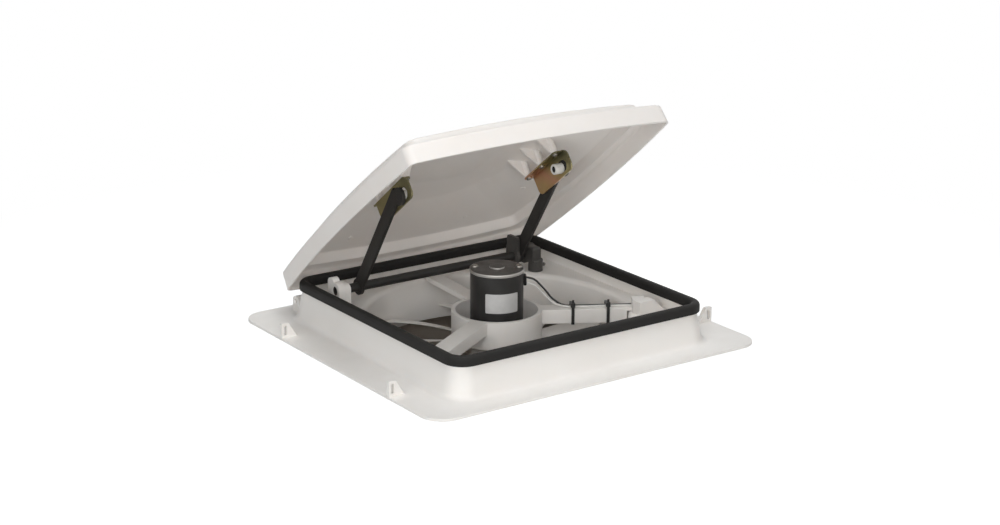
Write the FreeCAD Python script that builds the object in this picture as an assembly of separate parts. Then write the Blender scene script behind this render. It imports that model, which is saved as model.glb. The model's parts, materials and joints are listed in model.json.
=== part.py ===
"""RV roof vent fan with its lid cranked open.

Millimetres. +Z is up, +X runs along the lid hinge to the right, -Y faces the front, away from
the hinge. The origin is the centre of the roof opening in the plane of the flange underside.
"""
import FreeCAD, Part
import math
import os

V = FreeCAD.Vector
X_AXIS = V(1, 0, 0)
Y_AXIS = V(0, 1, 0)
Z_AXIS = V(0, 0, 1)
SIDES = (("left", -1), ("right", 1))

# Clearances
RUN_FIT = 0.06          # radial, shaft or pin that turns in a hole
SEAT = 0.1              # between pieces fastened together
MOVE_GAP = 0.5          # between pieces that pass each other

# Roof flange and rim
FLANGE_X = 457.0
FLANGE_Y = 428.0
FLANGE_T = 3.0
FLANGE_CORNER_R = 28.0
RIM_HALF = 172.5        # half width over the lip
RIM_WALL = 3.0
RIM_FLARE = 8.5         # how far the wall spreads from lip to flange
RIM_CORNER_R = 20.0     # outside, at the lip
RIM_FOOT_R = 7.0
LIP_BASE = 39.7
LIP_H = 7.0
LEDGE_W = 4.0
LEDGE_T = 3.0

# Cover lugs on the flange
LUG_FRONT_Y = -121.0
LUG_REAR_Y = 113.0
LUG_LENGTH = 20.0
LUG_TOP = 9.0
LUG_H = 18.0
LUG_T = 5.0
LUG_SLOT_W = 3.4
LUG_SLOT_H = 11.0
LUG_SLOT_IN = 3.2       # slot edge from the lug's outer end

# Rim seal
SEAL_OUT = 4.0          # how far it stands outside the lip
SEAL_IN = 4.0           # and inside
SEAL_H = 11.3
SEAL_ROUND = 5.0
SEAL_FOOT_R = 1.5

# Motor cup, spokes, deck and throat
HUB_TOP = 27.4
SPOKE_T = 3.0
SPOKE_FOOT = 6.0        # how far each spoke rests on the deck past the bell mouth
# each spoke: angle, width, depth, closed below
SPOKES = ((86.0, 20.0, 6.0, False), (211.5, 22.0, 15.0, False), (330.0, 20.0, 17.0, True))
LEAD_SPOKE = 330.0
CUP_R = 54.0
CUP_WALL = 5.0
CUP_FLOOR = -6.0
CUP_FLOOR_T = 3.0
DECK_T = 3.0
THROAT_IN = 16.5        # throat inside the lip
THROAT_WALL = 3.0
BELL_R = 6.0
SHROUD_BOTTOM = -30.0

# Motor
MOTOR_R = 31.5
CAN_WALL = 2.0
CAN_LENGTH = 78.0
CAP_T = 4.0
CAP_LIP = 0.8
CAP_ROUND = 1.8
CAP_BOSS_R = 9.0
CAP_BOSS_H = 1.5
CAP_SCREW_R = 26.0
CAP_SCREW_ANGLE = -35.0
SCREW_SHANK_R = 1.8
SCREW_HEAD_R = 3.6
SCREW_HEAD_H = 2.4
CAP_HEAD_R = 4.2
CAP_HEAD_H = 2.8
MOUNT_SCREW_R = 21.0
SHAFT_R = 4.0
BEARING_R = 8.0
BEARING_L = 8.0
ARMATURE_R = 21.5
ARMATURE_L = 40.0
ARMATURE_UP = 10.0      # above the can floor
AIR_GAP = 1.0
MAGNET_ARC = 140.0
COMMUTATOR_R = 11.0
COMMUTATOR_L = 11.0
COMMUTATOR_UP = 50.5
BRUSH_W = 6.0
BRUSH_H = 7.0
BRUSH_LENGTH = 9.0
BRUSH_RING_H = 11.0

# Fan
FAN_TOP = -10.0
FAN_HUB_R = 36.0
FAN_HUB_H = 16.0
FAN_HUB_WALL = 2.5
FAN_HUB_ROUND = 4.0
FAN_SLEEVE_R = 8.0
BLADES = 10
FAN_PHASE = 26.5        # first blade, degrees
TIP_GAP = 3.5
BLADE_T = 2.0
BLADE_ROOT_CHORD = 22.0
BLADE_TIP_CHORD = 46.0
BLADE_ROOT_PITCH = 31.0
BLADE_TIP_PITCH = 16.0
BLADE_CAMBER = 0.07
BLADE_SWEEP = 14.0      # how far the tip leads round the circle, degrees
NUT_R = 7.0
NUT_H = 3.4

# Lid
LID_OPEN = 37.7
LID_LAP = 2.5           # lid corner outside the seal
LID_BOW = 12.0
LID_CORNER_R = 11.0
LID_WALL = 2.5
SKIRT_H = 24.0
SKIRT_DRAFT = 0.8
LID_SEAL_GAP = 0.5
STEP_INSET = 15.0
STEP_RISE = 13.0
STEP_DRAFT = 4.0
LID_MOTOR_GAP = 14.0    # lid crown above the motor when closed
CROWN_INSET = 92.0
CROWN_ROUND = 140.0
LID_ROUND = 4.0
HINGE_UP = 14.6         # pin above the flange top
HINGE_OUT = 4.5         # pin behind the flared foot of the rim
EAR_R = 6.5
EAR_X = 138.0
EAR_W = 13.0
EAR_LAP = 8.0           # how far an ear runs up the skirt
KNUCKLE_W = 16.0
PIN_R = 2.5
PIN_OVERHANG = 1.0

# Lift: torque shaft, arms, rollers
SHAFT_Y = 121.0
SHAFT_Z = 44.2
TORQUE_R = 5.5
TORQUE_BORE_R = 3.5
ARM_X = 116.7           # middle of each arm
ARM_T = 4.0
ARM_W = 16.0
ARM_LENGTH = 161.2
ARM_OPEN = 55.1         # arm above level, lid open
ARM_CLOSED = 1.1
ARM_EYE_R = 10.5
ARM_FOOT_R = 10.0
ARM_EYE_OFFSET = 6.0    # roller in front of the bar's middle line
ROLLER_R = 6.5
ROLLER_L = 12.0
ROLLER_PIN_R = 4.0
PIN_SHY = 1.2           # roller pin ends this far inside the roller's face

# Brackets on the lid
PLATE_T = 1.8
PLATE_FRONT = 24.0      # plate in front of the roller's rest place
PLATE_REAR = 57.0
PLATE_BELOW = 11.0
PLATE_ABOVE = 17.0
PLATE_CORNER_R = 8.0
PLATE_HEAD_R = 10.0     # upper front corner
TAB_W = 12.5
TAB_END = 6.0           # tab past its end screws
SCREW_FRONT = 15.0      # first screw behind the plate's front edge
SCREW_OUT = 8.0         # screws beside the plate
SCREW_PITCH = 33.0
SCREWS_PER_BRACKET = 3
POST_R = 4.6
POST_RIB_T = 3.0
POST_RIB_REACH = 26.0   # along the lid's ceiling
SCREW_DEPTH = 9.0

# Left bearing block
BLOCK_IN = 22.5         # block's outer face inside the lip
BLOCK_BOSS_W = 9.0
BLOCK_LOBE_W = 7.5
BLOCK_BOSS_R = 10.5
BLOCK_LOBE_R = 7.0
BLOCK_REAR_OFF = 9.5    # lobe behind the bore
BLOCK_FRONT_OFF = 3.0   # lobe in front of it
BLOCK_REAR_UP = 7.5
BLOCK_FRONT_UP = 1.0
BLOCK_FOOT_T = 4.0
BLOCK_FOOT_LAP = 2.0

# Gearbox at the right
CHEEK_GAP = 1.2         # cheek from the arm
GEAR_GAP = 6.3          # gearbox from the arm
CHEEK_W = 4.5
CHEEK_R = 11.0
CHEEK_UP = 25.0
HORN_LEAD = 9.0         # in front of the shaft
HORN_BEVEL = 2.0
GEARBOX_W = 13.0
GEARBOX_WALL = 2.5
GEARBOX_ROUND = 4.0
TOWER_TOP = 56.5        # upright that holds the worm
TOWER_BOTTOM = 36.0
TOWER_LEAD = 7.0        # in front of the worm's middle
COVER_T = 2.5
COVER_LIP = 1.5
REAR_WALL_T = 3.5
REAR_WALL_DOWN = 7.0    # below the shaft
WHEEL_R = 9.0
WHEEL_W = 7.0
WHEEL_TEETH = 24
TOOTH_DEPTH = 1.2
WORM_R = 4.5
WORM_L = 20.0
WORM_GAP = 0.3
FOOT_R = 9.2            # round foot of the gearbox
FOOT_TOP = 39.5
FOOT_ROUND = 1.0
FOOT_SHIFT = V(2.8, -0.7, 0)    # foot's middle from the worm's
SPINDLE_R = 3.0
SOCKET_R = 6.0
SOCKET_L = 16.0
SOCKET_HEX = 3.2
SOCKET_BOTTOM = -28.0
HOUSING_SCREW_R = 2.2       # head
HOUSING_SHANK_R = 1.3
HOUSING_SCREW_H = 1.6

# Motor leads
LEAD_R = 1.2
LEAD_GAP = 1.0          # between the two leads
GROMMET_W = 9.0
GROMMET_H = 12.0
GROMMET_OUT = 3.5
GROMMET_DOWN = 12.0     # grommet middle below the cap
TIE_IN = (68.0, 26.0)   # each tie inside the throat
TIE_W = 3.6
TIE_T = 1.2
TIE_HEAD = 5.0
TIE_TAIL = 4.0
BOX_FRONT_IN = 48.0     # front face of the wire box inside the throat
BOX_T = 13.5
BOX_SIDE_IN = 26.0      # and its inner side
BOX_TOP_L = 22.0
BOX_LENGTH = 38.0
BOX_H = 15.5
CLIP_LENGTH = 15.0
CLIP_SIDES = (-9.0, 5.0)    # across the spoke
CLIP_H = 10.5

# Places that follow from the sizes above
DECK_TOP = HUB_TOP - SPOKE_T
DECK_BOTTOM = DECK_TOP - DECK_T
LEDGE_BOTTOM = DECK_BOTTOM - LEDGE_T
SEAL_HALF = RIM_HALF + SEAL_OUT
SEAL_TOP = LIP_BASE + SEAL_H
CUP_SEAT = CUP_FLOOR + CUP_FLOOR_T
CAN_TOP = CUP_SEAT + CAN_LENGTH
MOTOR_TOP = CAN_TOP + CAP_T
FAN_BOTTOM = FAN_TOP - FAN_HUB_H
THROAT_R = RIM_HALF - THROAT_IN
TIP_R = THROAT_R - TIP_GAP
HINGE_Y = RIM_HALF + RIM_FLARE + HINGE_OUT
HINGE_Z = FLANGE_T + HINGE_UP
HINGE = V(0, HINGE_Y, HINGE_Z)
LID_HALF = SEAL_HALF + LID_LAP
LID_BOTTOM = SEAL_TOP + LID_SEAL_GAP + LID_WALL - SKIRT_H
LID_EDGE = LID_BOTTOM + SKIRT_H
LID_STEP = LID_EDGE + STEP_RISE
LID_TOP = MOTOR_TOP + LID_MOTOR_GAP + LID_WALL
ARM_IN = ARM_X - ARM_T / 2
PLATE_X = ARM_IN - MOVE_GAP
WORM_Y = SHAFT_Y - WHEEL_R - WORM_R - WORM_GAP
GEARBOX_X = ARM_X + ARM_T / 2 + GEAR_GAP
GEARBOX_END = GEARBOX_X + GEARBOX_W
GEARBOX_R = WHEEL_R + MOVE_GAP + GEARBOX_WALL
WORM_X = GEARBOX_X + GEARBOX_W / 2
FOOT = V(WORM_X, WORM_Y, DECK_TOP) + FOOT_SHIFT
LIFT_RATIO = (ARM_OPEN - ARM_CLOSED) / LID_OPEN
BLOCK_X = BLOCK_IN - RIM_HALF
TIE_RADII = [THROAT_R - inside for inside in TIE_IN]
BOX_FRONT_Y = BOX_FRONT_IN - THROAT_R
BOX_X = THROAT_R - BOX_SIDE_IN


def box(x0, x1, y0, y1, z0, z1):
    """Box between two corners."""
    return Part.makeBox(x1 - x0, y1 - y0, z1 - z0, V(x0, y0, z0))


def rod(radius, start, axis, length):
    """Cylinder from a start point along an axis."""
    return Part.makeCylinder(radius, length, start, axis)


def pipe(outer, inner, start, axis, length):
    """Round tube."""
    return rod(outer, start, axis, length).cut(rod(inner, start, axis, length))


def fuse(shapes):
    """One solid from touching shapes."""
    result = shapes[0]
    for shape in shapes[1:]:
        result = result.fuse(shape)
    return result.removeSplitter()


def polar(radius, degrees, z=0.0):
    """Point at a radius and angle about the fan axis."""
    turn = math.radians(degrees)
    return V(radius * math.cos(turn), radius * math.sin(turn), z)


def turned(shape, degrees):
    """Copy turned about the fan axis."""
    copy = shape.copy()
    copy.rotate(V(0, 0, 0), Z_AXIS, degrees)
    return copy


def rounded_rect(half_x, half_y, radius, z):
    """Wire of a rectangle with round corners."""
    bend = radius * (1 - math.sqrt(0.5))
    edges = []
    corners = ((1, -1), (1, 1), (-1, 1), (-1, -1))
    for i, (sx, sy) in enumerate(corners):
        along_x = (sx, sy) in ((1, 1), (-1, -1))
        before = V(sx * half_x, sy * (half_y - radius), z)
        after = V(sx * (half_x - radius), sy * half_y, z)
        first, last = (before, after) if along_x else (after, before)
        middle = V(sx * (half_x - bend), sy * (half_y - bend), z)
        edges.append((first, middle, last))
    shapes = []
    for i, (first, middle, last) in enumerate(edges):
        shapes.append(Part.Arc(first, middle, last).toShape())
        shapes.append(Part.LineSegment(last, edges[(i + 1) % 4][0]).toShape())
    return Part.Wire(shapes)


def bowed_square(half, bow, radius, z):
    """Wire of a square whose sides bow outwards, with round corners."""
    side_r = (half * half + bow * bow) / (2 * bow)
    centre = half + bow - side_r
    inner_r = side_r - radius
    corner = (centre + math.sqrt(2 * inner_r ** 2 - centre ** 2)) / 2
    far = corner + radius * math.sqrt(0.5)
    touch_x = centre + side_r * (corner - centre) / inner_r
    touch_y = side_r * corner / inner_r
    quarter = (
        Part.Arc(V(touch_x, -touch_y, z), V(half + bow, 0, z), V(touch_x, touch_y, z)).toShape(),
        Part.Arc(V(touch_x, touch_y, z), V(far, far, z), V(touch_y, touch_x, z)).toShape(),
    )
    edges = []
    for turn in (0, 90, 180, 270):
        edges += [turned(edge, turn) for edge in quarter]
    return Part.Wire(edges)


def prism(wire, height):
    """Upright solid on a flat wire."""
    return Part.Face(wire).extrude(V(0, 0, height))


def loft(wires, ruled=True):
    """Solid through flat wires."""
    return Part.makeLoft(wires, True, ruled)


def profile_x(points, x, width):
    """Solid of straight-sided (y, z) outline, extruded along X."""
    corners = [V(x, y, z) for y, z in points]
    wire = Part.makePolygon(corners + corners[:1])
    return Part.Face(wire).extrude(V(width, 0, 0))


def edges_at(shape, z):
    """Edges that lie level at a height."""
    return [e for e in shape.Edges if abs(e.BoundBox.ZMin - z) < 0.01 and abs(e.BoundBox.ZMax - z) < 0.01]


def reach(edge):
    """Furthest an edge gets from the fan axis along X or Y."""
    extent = edge.BoundBox
    return max(extent.XMax, -extent.XMin, extent.YMax, -extent.YMin)


def opened(shape):
    """A lid piece, modelled closed, swung to the open pose."""
    copy = shape.copy()
    copy.rotate(HINGE, X_AXIS, -LID_OPEN)
    return copy


def mirrored(shape):
    """Mirror image across the middle plane X = 0."""
    return shape.mirror(V(0, 0, 0), X_AXIS)


def on_side(shape, side):
    """A right-hand shape, or its mirror image for the left."""
    return shape if side > 0 else mirrored(shape)


def rim_half(z):
    """Half width over the drafted rim wall at a height."""
    return RIM_HALF + RIM_FLARE * max(0.0, LIP_BASE - z) / (LIP_BASE - FLANGE_T)


def rim_outline(z, inset=0.0):
    """Outline of the rim wall at a height, moved inwards."""
    half = rim_half(z) - inset
    radius = RIM_CORNER_R + rim_half(z) - RIM_HALF - inset
    return rounded_rect(half, half, radius, z)


def lip_outline(z, inset):
    """Outline of the straight lip, moved inwards."""
    return rounded_rect(RIM_HALF - inset, RIM_HALF - inset, RIM_CORNER_R - inset, z)


def cover_lug():
    """Lug at the right edge of the flange: upright, slotted, with a sloping inner end."""
    out = FLANGE_X / 2
    base = FLANGE_T - 0.5
    outline = [
        V(out, 0, base),
        V(out, 0, FLANGE_T + LUG_H),
        V(out - LUG_TOP, 0, FLANGE_T + LUG_H),
        V(out - LUG_LENGTH, 0, FLANGE_T),
        V(out - LUG_LENGTH, 0, base),
    ]
    face = Part.Face(Part.makePolygon(outline + outline[:1]))
    lug = face.extrude(V(0, LUG_T, 0))
    slot_x = out - LUG_SLOT_IN
    slot_z = FLANGE_T + (LUG_H - LUG_SLOT_H) / 2
    slot = box(slot_x - LUG_SLOT_W, slot_x, -1, LUG_T + 1, slot_z, slot_z + LUG_SLOT_H)
    lug = lug.cut(slot)
    lug.translate(V(0, -LUG_T / 2, 0))
    return lug


def hinge_knuckle():
    """Right knuckle on the flange, with the pin hole."""
    x0 = EAR_X + EAR_W + MOVE_GAP
    barrel = rod(EAR_R, V(x0, HINGE_Y, HINGE_Z), X_AXIS, KNUCKLE_W)
    foot = box(x0, x0 + KNUCKLE_W, HINGE_Y - EAR_R, HINGE_Y + EAR_R, FLANGE_T - 0.5, HINGE_Z)
    hole = rod(PIN_R + RUN_FIT, V(x0 - 1, HINGE_Y, HINGE_Z), X_AXIS, KNUCKLE_W + 2)
    return fuse([barrel, foot]).cut(hole)


def base_frame():
    """Flange, drafted rim with its lip and ledge, cover lugs and hinge knuckles."""
    flange = prism(rounded_rect(FLANGE_X / 2, FLANGE_Y / 2, FLANGE_CORNER_R, 0), FLANGE_T)
    wall = loft([rim_outline(0), rim_outline(LIP_BASE)])
    lip = prism(rim_outline(LIP_BASE), LIP_H)
    body = fuse([flange, wall, lip])
    foot = [e for e in edges_at(body, FLANGE_T) if reach(e) < RIM_HALF + RIM_FLARE + 1]
    body = body.makeFillet(RIM_FOOT_R, foot)
    below = loft([rim_outline(-1, RIM_WALL), rim_outline(LEDGE_BOTTOM, RIM_WALL)])
    neck = prism(rim_outline(LEDGE_BOTTOM - 1, RIM_WALL + LEDGE_W), LEDGE_T + 2)
    above = loft([rim_outline(DECK_BOTTOM, RIM_WALL), rim_outline(LIP_BASE, RIM_WALL)])
    mouth = prism(lip_outline(LIP_BASE - SEAT, RIM_WALL), LIP_H + 1)
    for void in (below, neck, above, mouth):
        body = body.cut(void)
    extras = []
    for _, side in SIDES:
        for y in (LUG_FRONT_Y, LUG_REAR_Y):
            lug = on_side(cover_lug(), side)
            lug.translate(V(0, y, 0))
            extras.append(lug)
        extras.append(on_side(hinge_knuckle(), side))
    return fuse([body] + extras)


def rim_seal():
    """Rubber bulb that grips the lip."""
    outer = prism(lip_outline(LIP_BASE, -SEAL_OUT), SEAL_H)
    outer = outer.makeFillet(SEAL_ROUND, edges_at(outer, SEAL_TOP))
    seal = outer.cut(prism(lip_outline(LIP_BASE - 1, RIM_WALL + SEAL_IN), SEAL_H + 2))
    inner_top = [e for e in edges_at(seal, SEAL_TOP) if reach(e) < RIM_HALF - RIM_WALL - SEAL_IN + 0.5]
    seal = seal.makeFillet(SEAL_ROUND, inner_top)
    groove = prism(lip_outline(LIP_BASE - 1, -SEAT), LIP_H + 1 + SEAT)
    core = prism(lip_outline(LIP_BASE - 2, RIM_WALL + SEAT), LIP_H + 4)
    return seal.cut(groove.cut(core))


def fan_shroud():
    """Deck on the ledge, with a bell-mouthed throat for the fan."""
    inner = THROAT_R
    outer = THROAT_R + THROAT_WALL
    shoulder = THROAT_R + BELL_R
    bend = BELL_R * (1 - math.sqrt(0.5))
    places = ((inner, SHROUD_BOTTOM), (inner, DECK_TOP - BELL_R), (shoulder, DECK_TOP),
              (shoulder + 1, DECK_TOP), (shoulder + 1, DECK_BOTTOM), (outer, DECK_BOTTOM - BELL_R),
              (outer, SHROUD_BOTTOM))
    points = [V(r, 0, z) for r, z in places]
    edges = [Part.LineSegment(points[0], points[1]).toShape(),
             Part.Arc(points[1], V(inner + bend, 0, DECK_TOP - bend), points[2]).toShape()]
    loop = points[2:] + points[:1]
    for start, end in zip(loop, loop[1:]):
        edges.append(Part.LineSegment(start, end).toShape())
    throat = Part.Face(Part.Wire(edges)).revolve(V(0, 0, 0), Z_AXIS, 360)
    half = rim_half(DECK_TOP) - RIM_WALL - SEAT
    corner = RIM_CORNER_R + rim_half(DECK_TOP) - RIM_HALF - RIM_WALL - SEAT
    deck = prism(rounded_rect(half, half, corner, DECK_BOTTOM), DECK_T)
    deck = deck.cut(rod(shoulder + 0.5, V(0, 0, DECK_BOTTOM - 1), Z_AXIS, DECK_T + 2))
    shroud = fuse([throat, deck])
    spindle = rod(SPINDLE_R + MOVE_GAP, V(WORM_X, WORM_Y, DECK_BOTTOM - 1), Z_AXIS, DECK_T + 2)
    return shroud.cut(spindle)


def spoke(angle, width, depth, closed):
    """One channel spoke whose top plate rests on the deck."""
    start = CUP_R - CUP_WALL / 2
    reach = THROAT_R + BELL_R + SPOKE_FOOT
    end = THROAT_R - 1.5
    half = width / 2
    low = HUB_TOP - depth
    solids = [box(start, reach, -half, half, DECK_TOP, HUB_TOP)]
    for y in (-half, half - SPOKE_T):
        solids.append(box(start, end, y, y + SPOKE_T, low, DECK_TOP))
    if closed:
        solids.append(box(start, end, -half, half, low, low + SPOKE_T))
    return turned(fuse(solids), angle)


def motor_spider():
    """Cup for the motor on three spokes."""
    cup = rod(CUP_R, V(0, 0, CUP_FLOOR), Z_AXIS, HUB_TOP - CUP_FLOOR)
    spider = fuse([cup] + [spoke(*row) for row in SPOKES])
    spider = spider.cut(rod(CUP_R - CUP_WALL, V(0, 0, CUP_SEAT), Z_AXIS, HUB_TOP - CUP_SEAT + 1))
    spider = spider.cut(rod(BEARING_R + MOVE_GAP, V(0, 0, CUP_FLOOR - 1), Z_AXIS, CUP_FLOOR_T + 2))
    for angle in (CAP_SCREW_ANGLE, CAP_SCREW_ANGLE + 180):
        hole = polar(MOUNT_SCREW_R, angle, CUP_FLOOR - 1)
        spider = spider.cut(rod(SCREW_SHANK_R + SEAT, hole, Z_AXIS, CUP_FLOOR_T + 2))
    return spider


def motor_can():
    """Deep-drawn steel can with the lower bearing seat in its floor."""
    can = rod(MOTOR_R, V(0, 0, CUP_SEAT), Z_AXIS, CAN_LENGTH)
    can = can.cut(rod(MOTOR_R - CAN_WALL, V(0, 0, CUP_SEAT + CAN_WALL), Z_AXIS, CAN_LENGTH))
    seat = pipe(BEARING_R + CAN_WALL, BEARING_R + SEAT / 2, V(0, 0, CUP_SEAT), Z_AXIS, BEARING_L)
    can = fuse([can.cut(rod(BEARING_R + SEAT / 2, V(0, 0, CUP_SEAT - 1), Z_AXIS, BEARING_L)), seat])
    for angle in (CAP_SCREW_ANGLE, CAP_SCREW_ANGLE + 180):
        hole = polar(MOUNT_SCREW_R, angle, CUP_SEAT - 1)
        can = can.cut(rod(SCREW_SHANK_R + SEAT, hole, Z_AXIS, CAN_WALL + 2))
    middle = CAN_TOP - GROMMET_DOWN
    slot = box(MOTOR_R - CAN_WALL - 2, MOTOR_R + 2, -GROMMET_W / 2 + CAN_WALL, GROMMET_W / 2 - CAN_WALL,
               middle - GROMMET_H / 2 + CAN_WALL, middle + GROMMET_H / 2 - CAN_WALL)
    return can.cut(turned(slot, LEAD_SPOKE))


def motor_end_cap():
    """Cap with a rolled edge, a centre boss and the upper bearing seat below it."""
    cap = rod(MOTOR_R + CAP_LIP, V(0, 0, CAN_TOP), Z_AXIS, CAP_T)
    cap = cap.makeFillet(CAP_ROUND, edges_at(cap, MOTOR_TOP))
    boss = rod(CAP_BOSS_R, V(0, 0, MOTOR_TOP), Z_AXIS, CAP_BOSS_H)
    seat = rod(BEARING_R + CAN_WALL, V(0, 0, CAN_TOP - BEARING_L + CAN_WALL), Z_AXIS, BEARING_L)
    cap = fuse([cap, boss, seat])
    pocket = rod(BEARING_R + SEAT / 2, V(0, 0, CAN_TOP - BEARING_L), Z_AXIS, BEARING_L + CAN_WALL)
    cap = cap.cut(pocket)
    for angle in (CAP_SCREW_ANGLE, CAP_SCREW_ANGLE + 180):
        hole = polar(CAP_SCREW_R, angle, CAN_TOP - 1)
        cap = cap.cut(rod(SCREW_SHANK_R + SEAT, hole, Z_AXIS, CAP_T + 2))
    return cap


def pan_screw(seat, axis, length, head_r=SCREW_HEAD_R, head_h=SCREW_HEAD_H, shank_r=SCREW_SHANK_R):
    """Pan-head screw: head on its seat, shank along the axis."""
    collar = rod(head_r, seat - axis * (head_h / 2), axis, head_h / 2)
    crown = Part.makeCone(head_r * 0.6, head_r, head_h / 2, seat - axis * head_h, axis)
    return fuse([collar, crown, rod(shank_r, seat, axis, length)])


def motor_cap_screws():
    """The two screws that hold the end cap."""
    seats = [polar(CAP_SCREW_R, CAP_SCREW_ANGLE + turn, MOTOR_TOP) for turn in (0, 180)]
    screws = [pan_screw(seat, -Z_AXIS, CAP_T + CAN_WALL, CAP_HEAD_R, CAP_HEAD_H) for seat in seats]
    return Part.makeCompound(screws)


def motor_mount_screws():
    """The two screws that hold the can in its cup, from below."""
    seats = [polar(MOUNT_SCREW_R, CAP_SCREW_ANGLE + turn, CUP_FLOOR) for turn in (0, 180)]
    return Part.makeCompound([pan_screw(seat, Z_AXIS, CUP_FLOOR_T + CAN_WALL) for seat in seats])


def motor_bearing(z):
    """Sintered bush for the motor shaft."""
    return pipe(BEARING_R, SHAFT_R + RUN_FIT, V(0, 0, z), Z_AXIS, BEARING_L)


def motor_magnets():
    """Two arc magnets against the can wall."""
    inner = ARMATURE_R + AIR_GAP
    outer = MOTOR_R - CAN_WALL - SEAT / 2
    solids = []
    for turn in (CAP_SCREW_ANGLE + 90, CAP_SCREW_ANGLE + 270):
        start = V(0, 0, CUP_SEAT + ARMATURE_UP)
        arc = Part.makeCylinder(outer, ARMATURE_L, start, Z_AXIS, MAGNET_ARC)
        arc = arc.cut(rod(inner, start, Z_AXIS, ARMATURE_L))
        solids.append(turned(arc, turn - MAGNET_ARC / 2))
    return Part.makeCompound(solids)


def brush_set():
    """Insulating ring with two carbon brushes on the commutator."""
    low = CUP_SEAT + COMMUTATOR_UP
    outer = MOTOR_R - CAN_WALL - SEAT / 2
    ring = pipe(outer, COMMUTATOR_R + BRUSH_LENGTH, V(0, 0, low), Z_AXIS, BRUSH_RING_H)
    tunnel = low + (BRUSH_RING_H - BRUSH_H) / 2
    brushes = []
    for turn in (0, 180):
        brush = box(COMMUTATOR_R + RUN_FIT, COMMUTATOR_R + BRUSH_LENGTH + 2, -BRUSH_W / 2, BRUSH_W / 2,
                    tunnel, tunnel + BRUSH_H)
        brush = brush.cut(rod(COMMUTATOR_R + RUN_FIT, V(0, 0, low), Z_AXIS, BRUSH_RING_H))
        brushes.append(turned(brush, turn + CAP_SCREW_ANGLE))
    return fuse([ring] + brushes)


def motor_shaft():
    """Shaft from the upper bearing down to the fan nut."""
    low = FAN_BOTTOM - NUT_H
    return rod(SHAFT_R, V(0, 0, low), Z_AXIS, CAN_TOP - low)


def armature_core():
    """Slotted armature on the motor shaft."""
    low = CUP_SEAT + ARMATURE_UP
    core = pipe(ARMATURE_R, SHAFT_R + SEAT / 2, V(0, 0, low), Z_AXIS, ARMATURE_L)
    slots = 12
    for i in range(slots):
        slot = box(ARMATURE_R - 8, ARMATURE_R + 1, -1.2, 1.2, low - 1, low + ARMATURE_L + 1)
        core = core.cut(turned(slot, 360.0 * i / slots))
    return core


def commutator():
    """Commutator on the motor shaft."""
    return pipe(COMMUTATOR_R, SHAFT_R + SEAT / 2, V(0, 0, CUP_SEAT + COMMUTATOR_UP), Z_AXIS, COMMUTATOR_L)


def blade_section(radius, share):
    """Cambered section of a blade on a plane square to its radius."""
    chord = BLADE_ROOT_CHORD + (BLADE_TIP_CHORD - BLADE_ROOT_CHORD) * share
    pitch = math.radians(BLADE_ROOT_PITCH + (BLADE_TIP_PITCH - BLADE_ROOT_PITCH) * share)
    lift = chord * BLADE_CAMBER
    edge = BLADE_T * 0.3

    def place(along, up):
        y = along * math.cos(pitch) - up * math.sin(pitch)
        z = along * math.sin(pitch) + up * math.cos(pitch)
        return V(radius, y, z)

    upper = [place(-chord / 2, edge), place(0, lift + BLADE_T / 2), place(chord / 2, edge)]
    lower = [place(chord / 2, -edge), place(0, lift - BLADE_T / 2), place(-chord / 2, -edge)]
    wire = Part.Wire([
        Part.Arc(*upper).toShape(),
        Part.LineSegment(upper[2], lower[0]).toShape(),
        Part.Arc(*lower).toShape(),
        Part.LineSegment(lower[2], upper[0]).toShape(),
    ])
    wire.rotate(V(0, 0, 0), Z_AXIS, BLADE_SWEEP * share * share)
    return wire


def fan_rotor():
    """Hub with swept, twisted blades."""
    hub = rod(FAN_HUB_R, V(0, 0, FAN_BOTTOM), Z_AXIS, FAN_HUB_H)
    hub = hub.makeChamfer(FAN_HUB_ROUND, edges_at(hub, FAN_TOP))
    inside = FAN_HUB_R - FAN_HUB_WALL
    hub = hub.cut(pipe(inside, FAN_SLEEVE_R, V(0, 0, FAN_BOTTOM - 1), Z_AXIS, FAN_HUB_H - FAN_HUB_WALL + 1))
    start = inside * 0.8
    stations = (0.0, 0.35, 0.7, 1.0)
    sections = [blade_section(start + (TIP_R + 4 - start) * share, share) for share in stations]
    blade = loft(sections, ruled=False)
    band = pipe(TIP_R, inside + 0.5, V(0, 0, -FAN_HUB_H), Z_AXIS, 2 * FAN_HUB_H)
    blade = blade.common(band)
    blade.translate(V(0, 0, FAN_TOP - FAN_HUB_H / 2 - BLADE_CAMBER * BLADE_ROOT_CHORD / 2))
    rotor = fuse([hub] + [turned(blade, FAN_PHASE + 360.0 * i / BLADES) for i in range(BLADES)])
    return rotor.cut(rod(SHAFT_R + SEAT / 2, V(0, 0, FAN_BOTTOM - 1), Z_AXIS, FAN_HUB_H + 2))


def fan_retaining_nut():
    """Hexagon nut on the end of the motor shaft."""
    points = [polar(NUT_R, 60 * i, FAN_BOTTOM - NUT_H) for i in range(6)]
    nut = prism(Part.makePolygon(points + points[:1]), NUT_H)
    return nut.cut(rod(SHAFT_R + SEAT / 2, V(0, 0, FAN_BOTTOM - NUT_H - 1), Z_AXIS, NUT_H + 2))


def rounded_edge(radius):
    """Steps (inwards, below) that round an outer edge with narrow bevels."""
    shares = ((0.0, 1.0), (0.134, 0.5), (0.5, 0.134), (1.0, 0.0))
    return [(inwards * radius, below * radius) for inwards, below in shares]


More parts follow.
